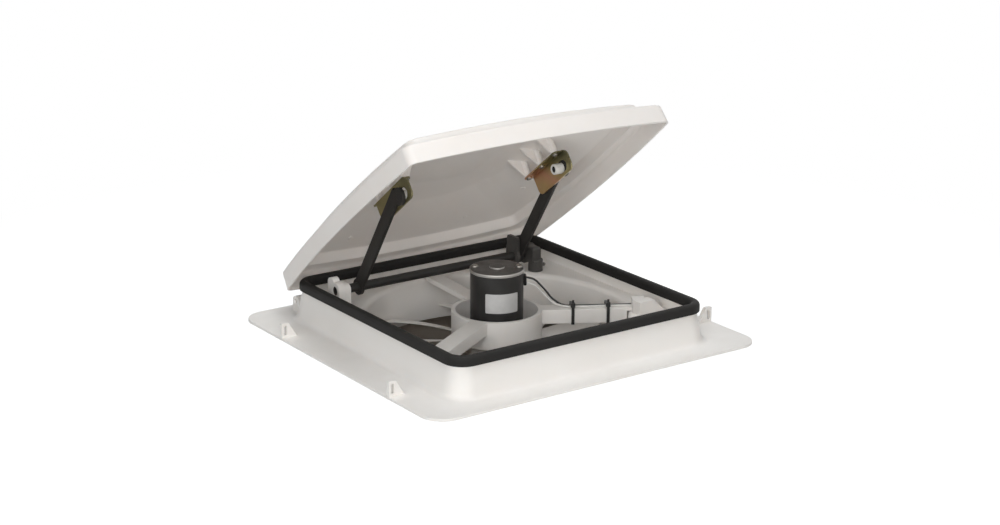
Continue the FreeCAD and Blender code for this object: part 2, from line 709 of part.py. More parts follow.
def lid_form(inset):
    """Solid of the lid's outside, or of its inside when moved in by the wall."""
    def outline(extra, z):
        return bowed_square(LID_HALF - inset - extra, LID_BOW, LID_CORNER_R - inset + extra / 8, z)

    drop = 1.0 if inset else 0.0
    edge = LID_EDGE - inset
    step = LID_STEP - inset
    top = LID_TOP - inset
    foot = STEP_INSET + SKIRT_DRAFT
    shoulder = foot + STEP_DRAFT
    bevels = rounded_edge(LID_ROUND - inset / 2)
    skirt = [outline(0, LID_BOTTOM - drop)]
    skirt += [outline(SKIRT_DRAFT + inwards, edge - below) for inwards, below in bevels]
    riser = [outline(foot, edge - 1)]
    riser += [outline(shoulder + inwards, step - below) for inwards, below in bevels]
    crown = loft([outline(shoulder + bevels[-1][0], step), outline(shoulder + CROWN_INSET, top)])
    crown = crown.makeFillet(CROWN_ROUND, edges_at(crown, top))
    return fuse([loft(skirt), loft(riser), crown])


def roller_place(arm_angle):
    """Roller centre (y, z) for an arm angle."""
    turn = math.radians(arm_angle)
    return SHAFT_Y - ARM_LENGTH * math.cos(turn), SHAFT_Z + ARM_LENGTH * math.sin(turn)


def slot_span():
    """Path of the roller seen from the closed lid: (front y, rear y, low z, high z)."""
    ys = []
    zs = []
    steps = 16
    for i in range(steps + 1):
        lid_angle = LID_OPEN * i / steps
        y, z = roller_place(ARM_CLOSED + LIFT_RATIO * lid_angle)
        turn = math.radians(lid_angle)
        dy = y - HINGE_Y
        dz = z - HINGE_Z
        ys.append(HINGE_Y + dy * math.cos(turn) - dz * math.sin(turn))
        zs.append(HINGE_Z + dy * math.sin(turn) + dz * math.cos(turn))
    return min(ys), max(ys), min(zs), max(zs)


SLOT_FRONT, SLOT_REAR, SLOT_LOW, SLOT_HIGH = slot_span()
SLOT_Z = (SLOT_LOW + SLOT_HIGH) / 2
SLOT_R = ROLLER_R + (SLOT_HIGH - SLOT_LOW) / 2 + MOVE_GAP / 2
TAB_Z = SLOT_Z + PLATE_ABOVE
SCREW_X = PLATE_X - SCREW_OUT


def bracket_screw_places():
    """Screw places (y) along one bracket."""
    front = SLOT_REAR - PLATE_FRONT + SCREW_FRONT
    return [front + SCREW_PITCH * i for i in range(SCREWS_PER_BRACKET)]


def lid_post(y):
    """Screw post with a gusset that spreads inwards along the lid's ceiling."""
    post = rod(POST_R, V(SCREW_X, y, TAB_Z), Z_AXIS, LID_TOP - TAB_Z)
    foot = SCREW_X - POST_R + SEAT
    low = TAB_Z + SEAT
    corners = ((SCREW_X, low), (foot, low), (SCREW_X - POST_RIB_REACH, LID_TOP), (SCREW_X, LID_TOP))
    outline = [V(x, y - POST_RIB_T / 2, z) for x, z in corners]
    rib = Part.Face(Part.makePolygon(outline + outline[:1])).extrude(V(0, POST_RIB_T, 0))
    hole = rod(SCREW_SHANK_R + SEAT, V(SCREW_X, y, TAB_Z - 1), Z_AXIS, SCREW_DEPTH + 2)
    return fuse([post, rib]).cut(hole)


def hinge_ear():
    """Right ear below the rear skirt, with the pin hole."""
    barrel = rod(EAR_R, V(EAR_X, HINGE_Y, HINGE_Z), X_AXIS, EAR_W)
    web = box(EAR_X, EAR_X + EAR_W, HINGE_Y - EAR_R, HINGE_Y + EAR_R / 2, HINGE_Z, LID_BOTTOM + EAR_LAP)
    hole = rod(PIN_R + RUN_FIT, V(EAR_X - 1, HINGE_Y, HINGE_Z), X_AXIS, EAR_W + 2)
    return fuse([barrel, web]).cut(hole)


def lid_shell():
    """Crowned lid with skirt, stepped edge, screw posts and hinge ears."""
    shell = lid_form(0.0).cut(lid_form(LID_WALL))
    mid_wall = lid_form(LID_WALL / 2)
    solids = [shell]
    for _, side in SIDES:
        for y in bracket_screw_places():
            solids.append(on_side(lid_post(y).common(mid_wall), side))
        solids.append(on_side(hinge_ear(), side))
    return opened(fuse(solids))


def hinge_pins():
    """Two steel pins through knuckles and ears."""
    start = EAR_X - PIN_OVERHANG
    length = EAR_W + MOVE_GAP + KNUCKLE_W + 2 * PIN_OVERHANG
    pin = rod(PIN_R, V(start, HINGE_Y, HINGE_Z), X_AXIS, length)
    return Part.makeCompound([on_side(pin, side) for _, side in SIDES])


def lid_bracket(side):
    """Folded steel plate: slotted web beside the arm, tab screwed to the lid posts."""
    front = SLOT_REAR - PLATE_FRONT
    rear = SLOT_REAR + PLATE_REAR
    low = SLOT_Z - PLATE_BELOW
    web = box(PLATE_X - PLATE_T, PLATE_X, front, rear, low, TAB_Z)
    ends = [e for e in edges_at(web, low) if e.BoundBox.XLength > PLATE_T / 2 and e.BoundBox.YLength < 1]
    web = web.makeFillet(PLATE_CORNER_R, ends)
    head = [e for e in edges_at(web, TAB_Z) if e.BoundBox.YMax < front + 1]
    web = web.makeFillet(PLATE_HEAD_R, head)
    screws = bracket_screw_places()
    tab = box(PLATE_X - TAB_W, PLATE_X, screws[0] - TAB_END, screws[-1] + TAB_END, TAB_Z - PLATE_T, TAB_Z)
    corners = [e for e in tab.Edges if e.BoundBox.ZLength > PLATE_T / 2 and e.BoundBox.XMax < PLATE_X - 1]
    tab = tab.makeFillet(PLATE_CORNER_R / 2, corners)
    bracket = fuse([web, tab])
    x0 = PLATE_X - PLATE_T - 1
    for y in (SLOT_FRONT, SLOT_REAR):
        bracket = bracket.cut(rod(SLOT_R, V(x0, y, SLOT_Z), X_AXIS, PLATE_T + 2))
    bracket = bracket.cut(box(x0, x0 + PLATE_T + 2, SLOT_FRONT, SLOT_REAR, SLOT_Z - SLOT_R, SLOT_Z + SLOT_R))
    for y in screws:
        hole = rod(SCREW_SHANK_R + SEAT, V(SCREW_X, y, TAB_Z - PLATE_T - 1), Z_AXIS, PLATE_T + 2)
        bracket = bracket.cut(hole)
    return opened(on_side(bracket, side))


def bracket_screws():
    """Screws that hold both brackets to the lid posts."""
    screws = []
    for _, side in SIDES:
        for y in bracket_screw_places():
            screw = pan_screw(V(SCREW_X, y, TAB_Z - PLATE_T), Z_AXIS, SCREW_DEPTH)
            screws.append(opened(on_side(screw, side)))
    return Part.makeCompound(screws)


def torque_shaft():
    """Tube across the rear of the rim that carries both arms."""
    start = BLOCK_X + 1
    end = GEARBOX_END - COVER_LIP - MOVE_GAP
    return pipe(TORQUE_R, TORQUE_BORE_R, V(start, SHAFT_Y, SHAFT_Z), X_AXIS, end - start)


def lift_arm(side):
    """Flat bar with a foot on the shaft and an offset eye for the roller pin."""
    x0 = ARM_X - ARM_T / 2
    y, z = roller_place(ARM_OPEN)
    lean = ARM_OPEN + math.degrees(math.asin(ARM_EYE_OFFSET / ARM_LENGTH))
    reach = math.sqrt(ARM_LENGTH ** 2 - ARM_EYE_OFFSET ** 2)
    bar = box(x0, x0 + ARM_T, SHAFT_Y - reach, SHAFT_Y, SHAFT_Z - ARM_W / 2, SHAFT_Z + ARM_W / 2)
    bar.rotate(V(0, SHAFT_Y, SHAFT_Z), X_AXIS, -lean)
    eye = rod(ARM_EYE_R, V(x0, y, z), X_AXIS, ARM_T)
    foot = rod(ARM_FOOT_R, V(x0, SHAFT_Y, SHAFT_Z), X_AXIS, ARM_T)
    arm = fuse([bar, eye, foot])
    arm = arm.cut(rod(TORQUE_R + SEAT / 2, V(x0 - 1, SHAFT_Y, SHAFT_Z), X_AXIS, ARM_T + 2))
    arm = arm.cut(rod(ROLLER_PIN_R + SEAT / 2, V(x0 - 1, y, z), X_AXIS, ARM_T + 2))
    return on_side(arm, side)


def roller_pins():
    """Studs in the arm eyes that carry the rollers."""
    y, z = roller_place(ARM_OPEN)
    inner = ARM_IN - MOVE_GAP / 2 - ROLLER_L + PIN_SHY
    length = ARM_X + ARM_T / 2 - inner
    pin = rod(ROLLER_PIN_R, V(inner, y, z), X_AXIS, length)
    return Part.makeCompound([on_side(pin, side) for _, side in SIDES])


def lift_roller(side):
    """Plastic roller that runs in the bracket slot."""
    y, z = roller_place(ARM_OPEN)
    start = V(ARM_IN - MOVE_GAP / 2 - ROLLER_L, y, z)
    roller = rod(ROLLER_R, start, X_AXIS, ROLLER_L)
    face = [e for e in roller.Edges if e.BoundBox.XMax < start.x + 0.01]
    roller = roller.makeChamfer(0.8, face)
    return on_side(roller.cut(rod(ROLLER_PIN_R + RUN_FIT, start - X_AXIS, X_AXIS, ROLLER_L + 2)), side)


def bearing_block():
    """White block for the left end of the shaft: a boss between a rear and a front lobe, on one foot."""
    middle = BLOCK_X + BLOCK_BOSS_W
    end = middle + BLOCK_LOBE_W
    rear_y = SHAFT_Y + BLOCK_REAR_OFF
    front_y = SHAFT_Y - BLOCK_FRONT_OFF
    rear_z = SHAFT_Z + BLOCK_REAR_UP
    front_z = SHAFT_Z + BLOCK_FRONT_UP
    boss_rear = SHAFT_Y + BLOCK_BOSS_R
    solids = [rod(BLOCK_BOSS_R, V(BLOCK_X, SHAFT_Y, SHAFT_Z), X_AXIS, BLOCK_BOSS_W),
              box(BLOCK_X, middle, SHAFT_Y - BLOCK_BOSS_R, boss_rear, DECK_TOP, SHAFT_Z),
              box(middle, end, front_y, boss_rear, DECK_TOP, front_z + BLOCK_LOBE_R),
              rod(BLOCK_LOBE_R, V(BLOCK_X, rear_y, rear_z), X_AXIS, BLOCK_BOSS_W),
              box(BLOCK_X, middle, rear_y, rear_y + BLOCK_LOBE_R, DECK_TOP, rear_z),
              box(BLOCK_X, middle, SHAFT_Y, rear_y, SHAFT_Z, rear_z),
              rod(BLOCK_LOBE_R, V(middle, front_y, front_z), X_AXIS, BLOCK_LOBE_W),
              box(middle, end, front_y - BLOCK_LOBE_R, front_y, DECK_TOP, front_z)]
    foot_top = DECK_TOP + BLOCK_FOOT_T
    toe = SHAFT_Y - BLOCK_BOSS_R - BLOCK_FOOT_LAP
    heel = rear_y + BLOCK_LOBE_R + BLOCK_FOOT_LAP
    solids.append(box(BLOCK_X, end, toe, heel, DECK_TOP, foot_top))
    bore = rod(TORQUE_R + RUN_FIT, V(BLOCK_X - 1, SHAFT_Y, SHAFT_Z), X_AXIS, end - BLOCK_X + 2)
    return fuse(solids).cut(bore)


def gear_housing():
    """Dark housing: cheek inside the arm, wall behind it, gearbox with an upright and a round foot."""
    rear = SHAFT_Y + ARM_FOOT_R + MOVE_GAP
    cheek_x = ARM_IN - CHEEK_GAP - CHEEK_W
    cheek = rod(CHEEK_R, V(cheek_x, SHAFT_Y, SHAFT_Z), X_AXIS, CHEEK_W)
    horn_top = SHAFT_Z + CHEEK_UP
    back = rear + REAR_WALL_T
    lead = SHAFT_Y - HORN_LEAD
    heel = rear + REAR_WALL_T / 2
    horn = profile_x([(lead, SHAFT_Z), (lead, horn_top - HORN_BEVEL), (lead + HORN_BEVEL, horn_top),
                      (heel - HORN_BEVEL, horn_top), (heel, horn_top - HORN_BEVEL),
                      (heel, DECK_TOP), (SHAFT_Y, DECK_TOP), (SHAFT_Y - CHEEK_R, SHAFT_Z)], cheek_x, CHEEK_W)
    wall = box(cheek_x, GEARBOX_END, rear, back, SHAFT_Z - REAR_WALL_DOWN, SHAFT_Z + CHEEK_R)
    barrel = rod(GEARBOX_R, V(GEARBOX_X, SHAFT_Y, SHAFT_Z), X_AXIS, GEARBOX_W)
    tower = box(GEARBOX_X, GEARBOX_END, WORM_Y - TOWER_LEAD, SHAFT_Y, TOWER_BOTTOM, TOWER_TOP)
    tower = tower.makeFillet(GEARBOX_ROUND, edges_at(tower, TOWER_TOP))
    foot = rod(FOOT_R, FOOT, Z_AXIS, FOOT_TOP - DECK_TOP)
    foot = foot.makeFillet(FOOT_ROUND, edges_at(foot, FOOT_TOP))
    seats = housing_screw_seats()
    pad = rod(HOUSING_SCREW_R, V(FOOT.x, seats[1].y, seats[1].z), X_AXIS, seats[1].x - FOOT.x)
    housing = fuse([cheek, horn, wall, barrel, tower, foot, pad])
    bore = rod(TORQUE_R + RUN_FIT, V(cheek_x - 1, SHAFT_Y, SHAFT_Z), X_AXIS, GEARBOX_END - cheek_x + 2)
    wheel_room = rod(WHEEL_R + MOVE_GAP, V(GEARBOX_X + GEARBOX_WALL, SHAFT_Y, SHAFT_Z), X_AXIS, GEARBOX_W)
    worm_low = SHAFT_Z - WORM_L / 2
    worm_room = rod(WORM_R + MOVE_GAP, V(WORM_X, WORM_Y, worm_low), Z_AXIS, WORM_L)
    spindle = rod(SPINDLE_R + RUN_FIT, V(WORM_X, WORM_Y, DECK_TOP - 1), Z_AXIS, worm_low - DECK_TOP + 2)
    cover_room = rod(GEARBOX_R + SEAT, V(GEARBOX_END, SHAFT_Y, SHAFT_Z), X_AXIS, 2 * FOOT_R)
    for void in (bore, wheel_room, worm_room, spindle, cover_room):
        housing = housing.cut(void)
    for seat, axis in zip(seats, (Z_AXIS, X_AXIS)):
        housing = housing.cut(rod(HOUSING_SHANK_R + SEAT, seat - axis * SCREW_DEPTH, axis, SCREW_DEPTH + 1))
    return housing


def housing_screw_seats():
    """Seats of the two housing screws: on the foot's shoulder and on its right side."""
    shoulder = V(GEARBOX_END + HOUSING_SCREW_R + MOVE_GAP, FOOT.y, FOOT_TOP)
    right = V(FOOT.x + FOOT_R + MOVE_GAP, FOOT.y - FOOT_R / 2, (DECK_TOP + FOOT_TOP) / 2)
    return [shoulder, right]


def gear_cover():
    """Round cap that closes the gearbox."""
    plug = rod(WHEEL_R + MOVE_GAP - SEAT, V(GEARBOX_END - COVER_LIP, SHAFT_Y, SHAFT_Z), X_AXIS, COVER_LIP)
    disc = rod(GEARBOX_R, V(GEARBOX_END, SHAFT_Y, SHAFT_Z), X_AXIS, COVER_T)
    face = [e for e in disc.Edges if e.BoundBox.XMin > GEARBOX_END + COVER_T / 2 and e.BoundBox.YLength > 1]
    disc = disc.makeChamfer(COVER_T / 3, face)
    return fuse([disc, plug])


def gear_housing_screws():
    """Two bright screws that hold the housing's foot."""
    seats = housing_screw_seats()
    screws = [pan_screw(seat, -axis, SCREW_DEPTH, HOUSING_SCREW_R, HOUSING_SCREW_H, HOUSING_SHANK_R)
              for seat, axis in zip(seats, (Z_AXIS, X_AXIS))]
    return Part.makeCompound(screws)


def worm_wheel():
    """Toothed wheel on the right end of the torque shaft."""
    x0 = GEARBOX_X + GEARBOX_WALL + MOVE_GAP
    wheel = pipe(WHEEL_R, TORQUE_R + SEAT / 2, V(x0, SHAFT_Y, SHAFT_Z), X_AXIS, WHEEL_W)
    gap = math.pi * WHEEL_R / WHEEL_TEETH
    for i in range(WHEEL_TEETH):
        notch = box(x0 - 1, x0 + WHEEL_W + 1, SHAFT_Y - gap / 2, SHAFT_Y + gap / 2,
                    SHAFT_Z + WHEEL_R - TOOTH_DEPTH, SHAFT_Z + WHEEL_R + 1)
        notch.rotate(V(0, SHAFT_Y, SHAFT_Z), X_AXIS, 360.0 * i / WHEEL_TEETH)
        wheel = wheel.cut(notch)
    return wheel


def worm_spindle():
    """Worm beside the wheel on an upright spindle with a hexagon crank socket below."""
    low = SHAFT_Z - WORM_L / 2 + MOVE_GAP
    worm = rod(WORM_R, V(WORM_X, WORM_Y, low), Z_AXIS, WORM_L - 2 * MOVE_GAP)
    spindle = rod(SPINDLE_R, V(WORM_X, WORM_Y, SOCKET_BOTTOM + 1), Z_AXIS, low - SOCKET_BOTTOM)
    socket = rod(SOCKET_R, V(WORM_X, WORM_Y, SOCKET_BOTTOM), Z_AXIS, SOCKET_L)
    whole = fuse([worm, spindle, socket])
    points = [V(WORM_X, WORM_Y, SOCKET_BOTTOM - 1) + polar(SOCKET_HEX, 60 * i) for i in range(6)]
    return whole.cut(prism(Part.makePolygon(points + points[:1]), SOCKET_L - 3))


def lead_grommet():
    """Rubber grommet in the motor can, where the leads come out."""
    middle = CAN_TOP - GROMMET_DOWN
    outer = box(MOTOR_R, MOTOR_R + GROMMET_OUT, -GROMMET_W / 2, GROMMET_W / 2,
                middle - GROMMET_H / 2, middle + GROMMET_H / 2)
    outer = outer.cut(rod(MOTOR_R + SEAT / 2, V(0, 0, middle - GROMMET_H), Z_AXIS, 2 * GROMMET_H))
    rounding = [e for e in outer.Edges if e.BoundBox.XMin > MOTOR_R + GROMMET_OUT - 0.01]
    outer = outer.makeFillet(1.2, rounding)
    half_w = GROMMET_W / 2 - CAN_WALL - SEAT
    half_h = GROMMET_H / 2 - CAN_WALL - SEAT
    inside = box(MOTOR_R - CAN_WALL - 1, MOTOR_R + 1, -half_w, half_w, middle - half_h, middle + half_h)
    grommet = turned(fuse([outer, inside]), LEAD_SPOKE)
    for route in lead_routes():
        heading = (route[1] - route[0]).normalize()
        grommet = grommet.cut(rod(LEAD_R + SEAT / 2, route[0] - heading * GROMMET_OUT, heading, GROMMET_H))
    return grommet


def lead_routes():
    """Points of the black and the white lead, from grommet to wire box."""
    middle = CAN_TOP - GROMMET_DOWN
    top = HUB_TOP + LEAD_R + SEAT
    spread = LEAD_R + LEAD_GAP / 2
    out = MOTOR_R + GROMMET_OUT - 1
    end = THROAT_R + BELL_R + 4
    black = [(out, 1.0, middle + 3), (out + 11, 1.6, middle), (out + 23, spread, middle - 13),
             (out + 33, spread + 0.4, top + 8), (out + 46, spread, top), (out + 69, spread + 0.7, top),
             (out + 98, spread, top), (end, spread + 0.3, top)]
    white = [(out, -1.0, middle - 3), (out + 11, -1.6, middle - 6), (out + 22, -spread, middle - 18),
             (out + 33, -spread - 0.4, top + 5), (out + 46, -spread, top), (out + 69, -spread - 0.6, top),
             (out + 97, -spread, top), (end, -spread - 0.4, top)]
    turn = math.radians(LEAD_SPOKE)
    along = V(math.cos(turn), math.sin(turn), 0)
    across = V(-math.sin(turn), math.cos(turn), 0)
    return [[along * r + across * s + Z_AXIS * z for r, s, z in route] for route in (black, white)]


def lead(points):
    """Round wire: straight runs joined by arcs as large as the runs allow."""
    runs = [(b - a).Length for a, b in zip(points, points[1:])]
    edges = []
    start = points[0]
    for i in range(1, len(points) - 1):
        inward = (points[i - 1] - points[i]).normalize()
        onward = (points[i + 1] - points[i]).normalize()
        cut = 0.45 * min(runs[i - 1], runs[i])
        begin = points[i] + inward * cut
        finish = points[i] + onward * cut
        half_turn = (math.pi - inward.getAngle(onward)) / 2
        radius = cut / math.tan(half_turn)
        bisector = (inward + onward).normalize()
        middle = points[i] + bisector * (math.hypot(radius, cut) - radius)
        edges.append(Part.LineSegment(start, begin).toShape())
        edges.append(Part.Arc(begin, middle, finish).toShape())
        start = finish
        print("lead bend radius %.1f" % radius)
    edges.append(Part.LineSegment(start, points[-1]).toShape())
    path = Part.Wire(edges)
    circle = Part.Wire(Part.Circle(points[0], points[1] - points[0], LEAD_R).toShape())
    tube = path.makePipeShell([circle], True, False)
    print("lead volume %.1f, section times length %.1f" % (tube.Volume, math.pi * LEAD_R ** 2 * path.Length))
    return tube


def cable_ties():
    """Two ties round the lead spoke, each with its head and cut tail on top."""
    width, depth = [row[1:3] for row in SPOKES if row[0] == LEAD_SPOKE][0]
    half = width / 2 + SEAT
    low = HUB_TOP - depth - SEAT
    high = HUB_TOP + 2 * LEAD_R + 3 * SEAT
    ties = []
    for radius in TIE_RADII:
        loop = box(radius, radius + TIE_W, -half - TIE_T, half + TIE_T, low - TIE_T, high + TIE_T)
        loop = loop.cut(box(radius - 1, radius + TIE_W + 1, -half, half, low, high))
        side = -half - TIE_T
        top = high + TIE_HEAD
        head = box(radius - 0.7, radius + TIE_W + 0.7, side, side + TIE_HEAD, high, top)
        tail_end = top + TIE_TAIL
        tail = box(radius + 0.5, radius + TIE_W - 0.5, side + TIE_T, side + 2 * TIE_T, top - 0.5, tail_end)
        ties.append(turned(fuse([loop, head, tail]), LEAD_SPOKE))
    return Part.makeCompound(ties)


def lead_box():
    """Wire box beside the lead spoke: a wedge on the deck and a clip on the spoke that takes the leads."""
    top = DECK_TOP + BOX_H
    outline = [V(x, BOX_FRONT_Y, z) for x, z in ((BOX_X, DECK_TOP), (BOX_X, top), (BOX_X + BOX_TOP_L, top),
                                                 (BOX_X + BOX_LENGTH, DECK_TOP))]
    wedge = Part.Face(Part.makePolygon(outline + outline[:1])).extrude(V(0, BOX_T, 0))
    start = THROAT_R + BELL_R - 1
    clip = box(start, start + CLIP_LENGTH, *CLIP_SIDES, HUB_TOP, HUB_TOP + CLIP_H)
    wire_box = fuse([wedge, turned(clip, LEAD_SPOKE)])
    for route in lead_routes():
        heading = (route[-1] - route[-2]).normalize()
        start_hole = route[-1] - heading * CLIP_LENGTH
        wire_box = wire_box.cut(rod(LEAD_R + SEAT, start_hole, heading, CLIP_LENGTH + 1))
    return wire_box


def export(name, shape):
    """Write one piece, after a check that it is sound."""
    if not shape.isValid():
        print("not valid: %s" % name)
    shape.exportStep("parts/%s.step" % name)


def main():
    """Build every piece and write it."""
    os.makedirs("parts", exist_ok=True)
    black, white = lead_routes()
    pieces = {
        "base_frame": base_frame(),
        "rim_seal": rim_seal(),
        "fan_shroud": fan_shroud(),
        "motor_spider": motor_spider(),
        "motor_can": motor_can(),
        "motor_end_cap": motor_end_cap(),
        "motor_cap_screws": motor_cap_screws(),
        "motor_mount_screws": motor_mount_screws(),
        "motor_bearing_top": motor_bearing(CAN_TOP - BEARING_L + CAN_WALL),
        "motor_bearing_bottom": motor_bearing(CUP_SEAT),
        "motor_magnets": motor_magnets(),
        "brush_set": brush_set(),
        "motor_shaft": motor_shaft(),
        "armature_core": armature_core(),
        "commutator": commutator(),
        "fan_rotor": fan_rotor(),
        "fan_retaining_nut": fan_retaining_nut(),
        "lid_shell": lid_shell(),
        "hinge_pins": hinge_pins(),
        "bracket_screws": bracket_screws(),
        "torque_shaft": torque_shaft(),
        "roller_pins": roller_pins(),
        "bearing_block": bearing_block(),
        "gear_housing": gear_housing(),
        "gear_cover": gear_cover(),
        "gear_housing_screws": gear_housing_screws(),
        "worm_wheel": worm_wheel(),
        "worm_spindle": worm_spindle(),
        "lead_grommet": lead_grommet(),
        "lead_black": lead(black),
        "lead_white": lead(white),
        "cable_ties": cable_ties(),
        "lead_box": lead_box(),
    }
    for name, side in SIDES:
        pieces["lid_bracket_" + name] = lid_bracket(side)
        pieces["lift_arm_" + name] = lift_arm(side)
        pieces["lift_roller_" + name] = lift_roller(side)
    for name, shape in pieces.items():
        export(name, shape)
    print("lift ratio %.4f" % LIFT_RATIO)


main()
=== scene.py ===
"""Dressed scene of a camper roof vent fan with its lid cranked open.

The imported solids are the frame, in metres. The classes below give every solid its finish, replace
the plain screws with cross-recess ones, add the lock washers under the motor cap's screws, the
motor's bare plate and the ejector marks under the lid, draw flat the folds in the lid's skin, and
set the part in a plain pale studio.
"""
from __future__ import annotations

import json
import logging
import math
from abc import ABC, abstractmethod
from collections.abc import Callable, Iterator
from contextlib import contextmanager
from dataclasses import dataclass, field, replace
from enum import Enum

import bmesh
import bpy
from mathutils import Matrix, Vector
from mathutils.kdtree import KDTree


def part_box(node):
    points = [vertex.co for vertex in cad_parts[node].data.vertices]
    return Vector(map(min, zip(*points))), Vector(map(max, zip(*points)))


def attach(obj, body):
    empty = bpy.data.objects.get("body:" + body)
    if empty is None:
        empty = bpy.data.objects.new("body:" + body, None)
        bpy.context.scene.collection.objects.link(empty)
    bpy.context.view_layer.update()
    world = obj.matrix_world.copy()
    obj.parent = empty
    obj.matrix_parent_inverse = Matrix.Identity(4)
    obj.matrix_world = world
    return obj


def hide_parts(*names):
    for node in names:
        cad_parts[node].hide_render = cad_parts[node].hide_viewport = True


LOG = logging.getLogger("roof_vent")
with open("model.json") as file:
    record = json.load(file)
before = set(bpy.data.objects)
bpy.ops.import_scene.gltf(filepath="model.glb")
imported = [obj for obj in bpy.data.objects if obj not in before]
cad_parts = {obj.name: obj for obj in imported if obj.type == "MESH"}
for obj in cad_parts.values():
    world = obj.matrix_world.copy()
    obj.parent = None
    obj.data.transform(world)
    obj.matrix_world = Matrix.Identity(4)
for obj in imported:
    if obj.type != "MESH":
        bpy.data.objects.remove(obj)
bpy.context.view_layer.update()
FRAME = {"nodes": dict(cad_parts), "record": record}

Triple = tuple[float, float, float]
Colour = tuple[float, float, float]
Span = tuple[float, float]
Piece = bpy.types.Object
Socket = bpy.types.NodeSocket

MM = 0.001
IMAGE_WIDTH = 1000
IMAGE_HEIGHT = 525
MIX_FIRST, MIX_SECOND, MIX_RESULT = 6, 7, 2
EDGE_SAMPLES = 4
NOISE_MIDDLE = 0.5
COARSE_SCALE = 0.17
COARSE_SHARE = 0.6
SCUFF_TURNS = ((10.0, 20.0, 35.0), (70.0, -30.0, -50.0))
SCUFF_STRETCH = (0.25, 5.0, 3.0)
SCUFF_WIDTH = 0.012
DRAWN_STRETCH = (1.0, 1.0, 0.03)
WEAR_AND_HIGHLIGHT_REACH = 1.5
DUST_ROUGHNESS = 0.3
SHADE_ANGLE = 35.0
FLAT = 0.9
UPRIGHT = 0.1
TOP_SHARE = 0.9
SIDE_CORNERS = 4
WHITE = (1.0, 1.0, 1.0, 1.0)


class Effect(Enum):
    """Surface effects that several finishes share: each one's group, result and number inputs."""

    CLOUD = ("cloud_tone", "Mask", {"Scale": 14.0})
    GRAIN = ("mould_grain", "Height", {"Scale": 2000.0})
    DUST = ("settled_dust", "Mask", {"Scale": 40.0, "Amount": 0.3})
    EDGE = ("edge_wear", "Mask", {"Radius": 0.0008, "Scale": 90.0, "Amount": 0.6})
    SCUFF = ("fine_scuffs", "Mask", {"Scale": 60.0})
    DRAWN = ("drawn_lines", "Height", {"Scale": 900.0})


class Part(Enum):
    """Parts of a mesh that can be picked: the select mode and the mesh's own row of them."""

    CORNER = ("VERT", "verts")
    EDGE = ("EDGE", "edges")
    FACE = ("FACE", "faces")


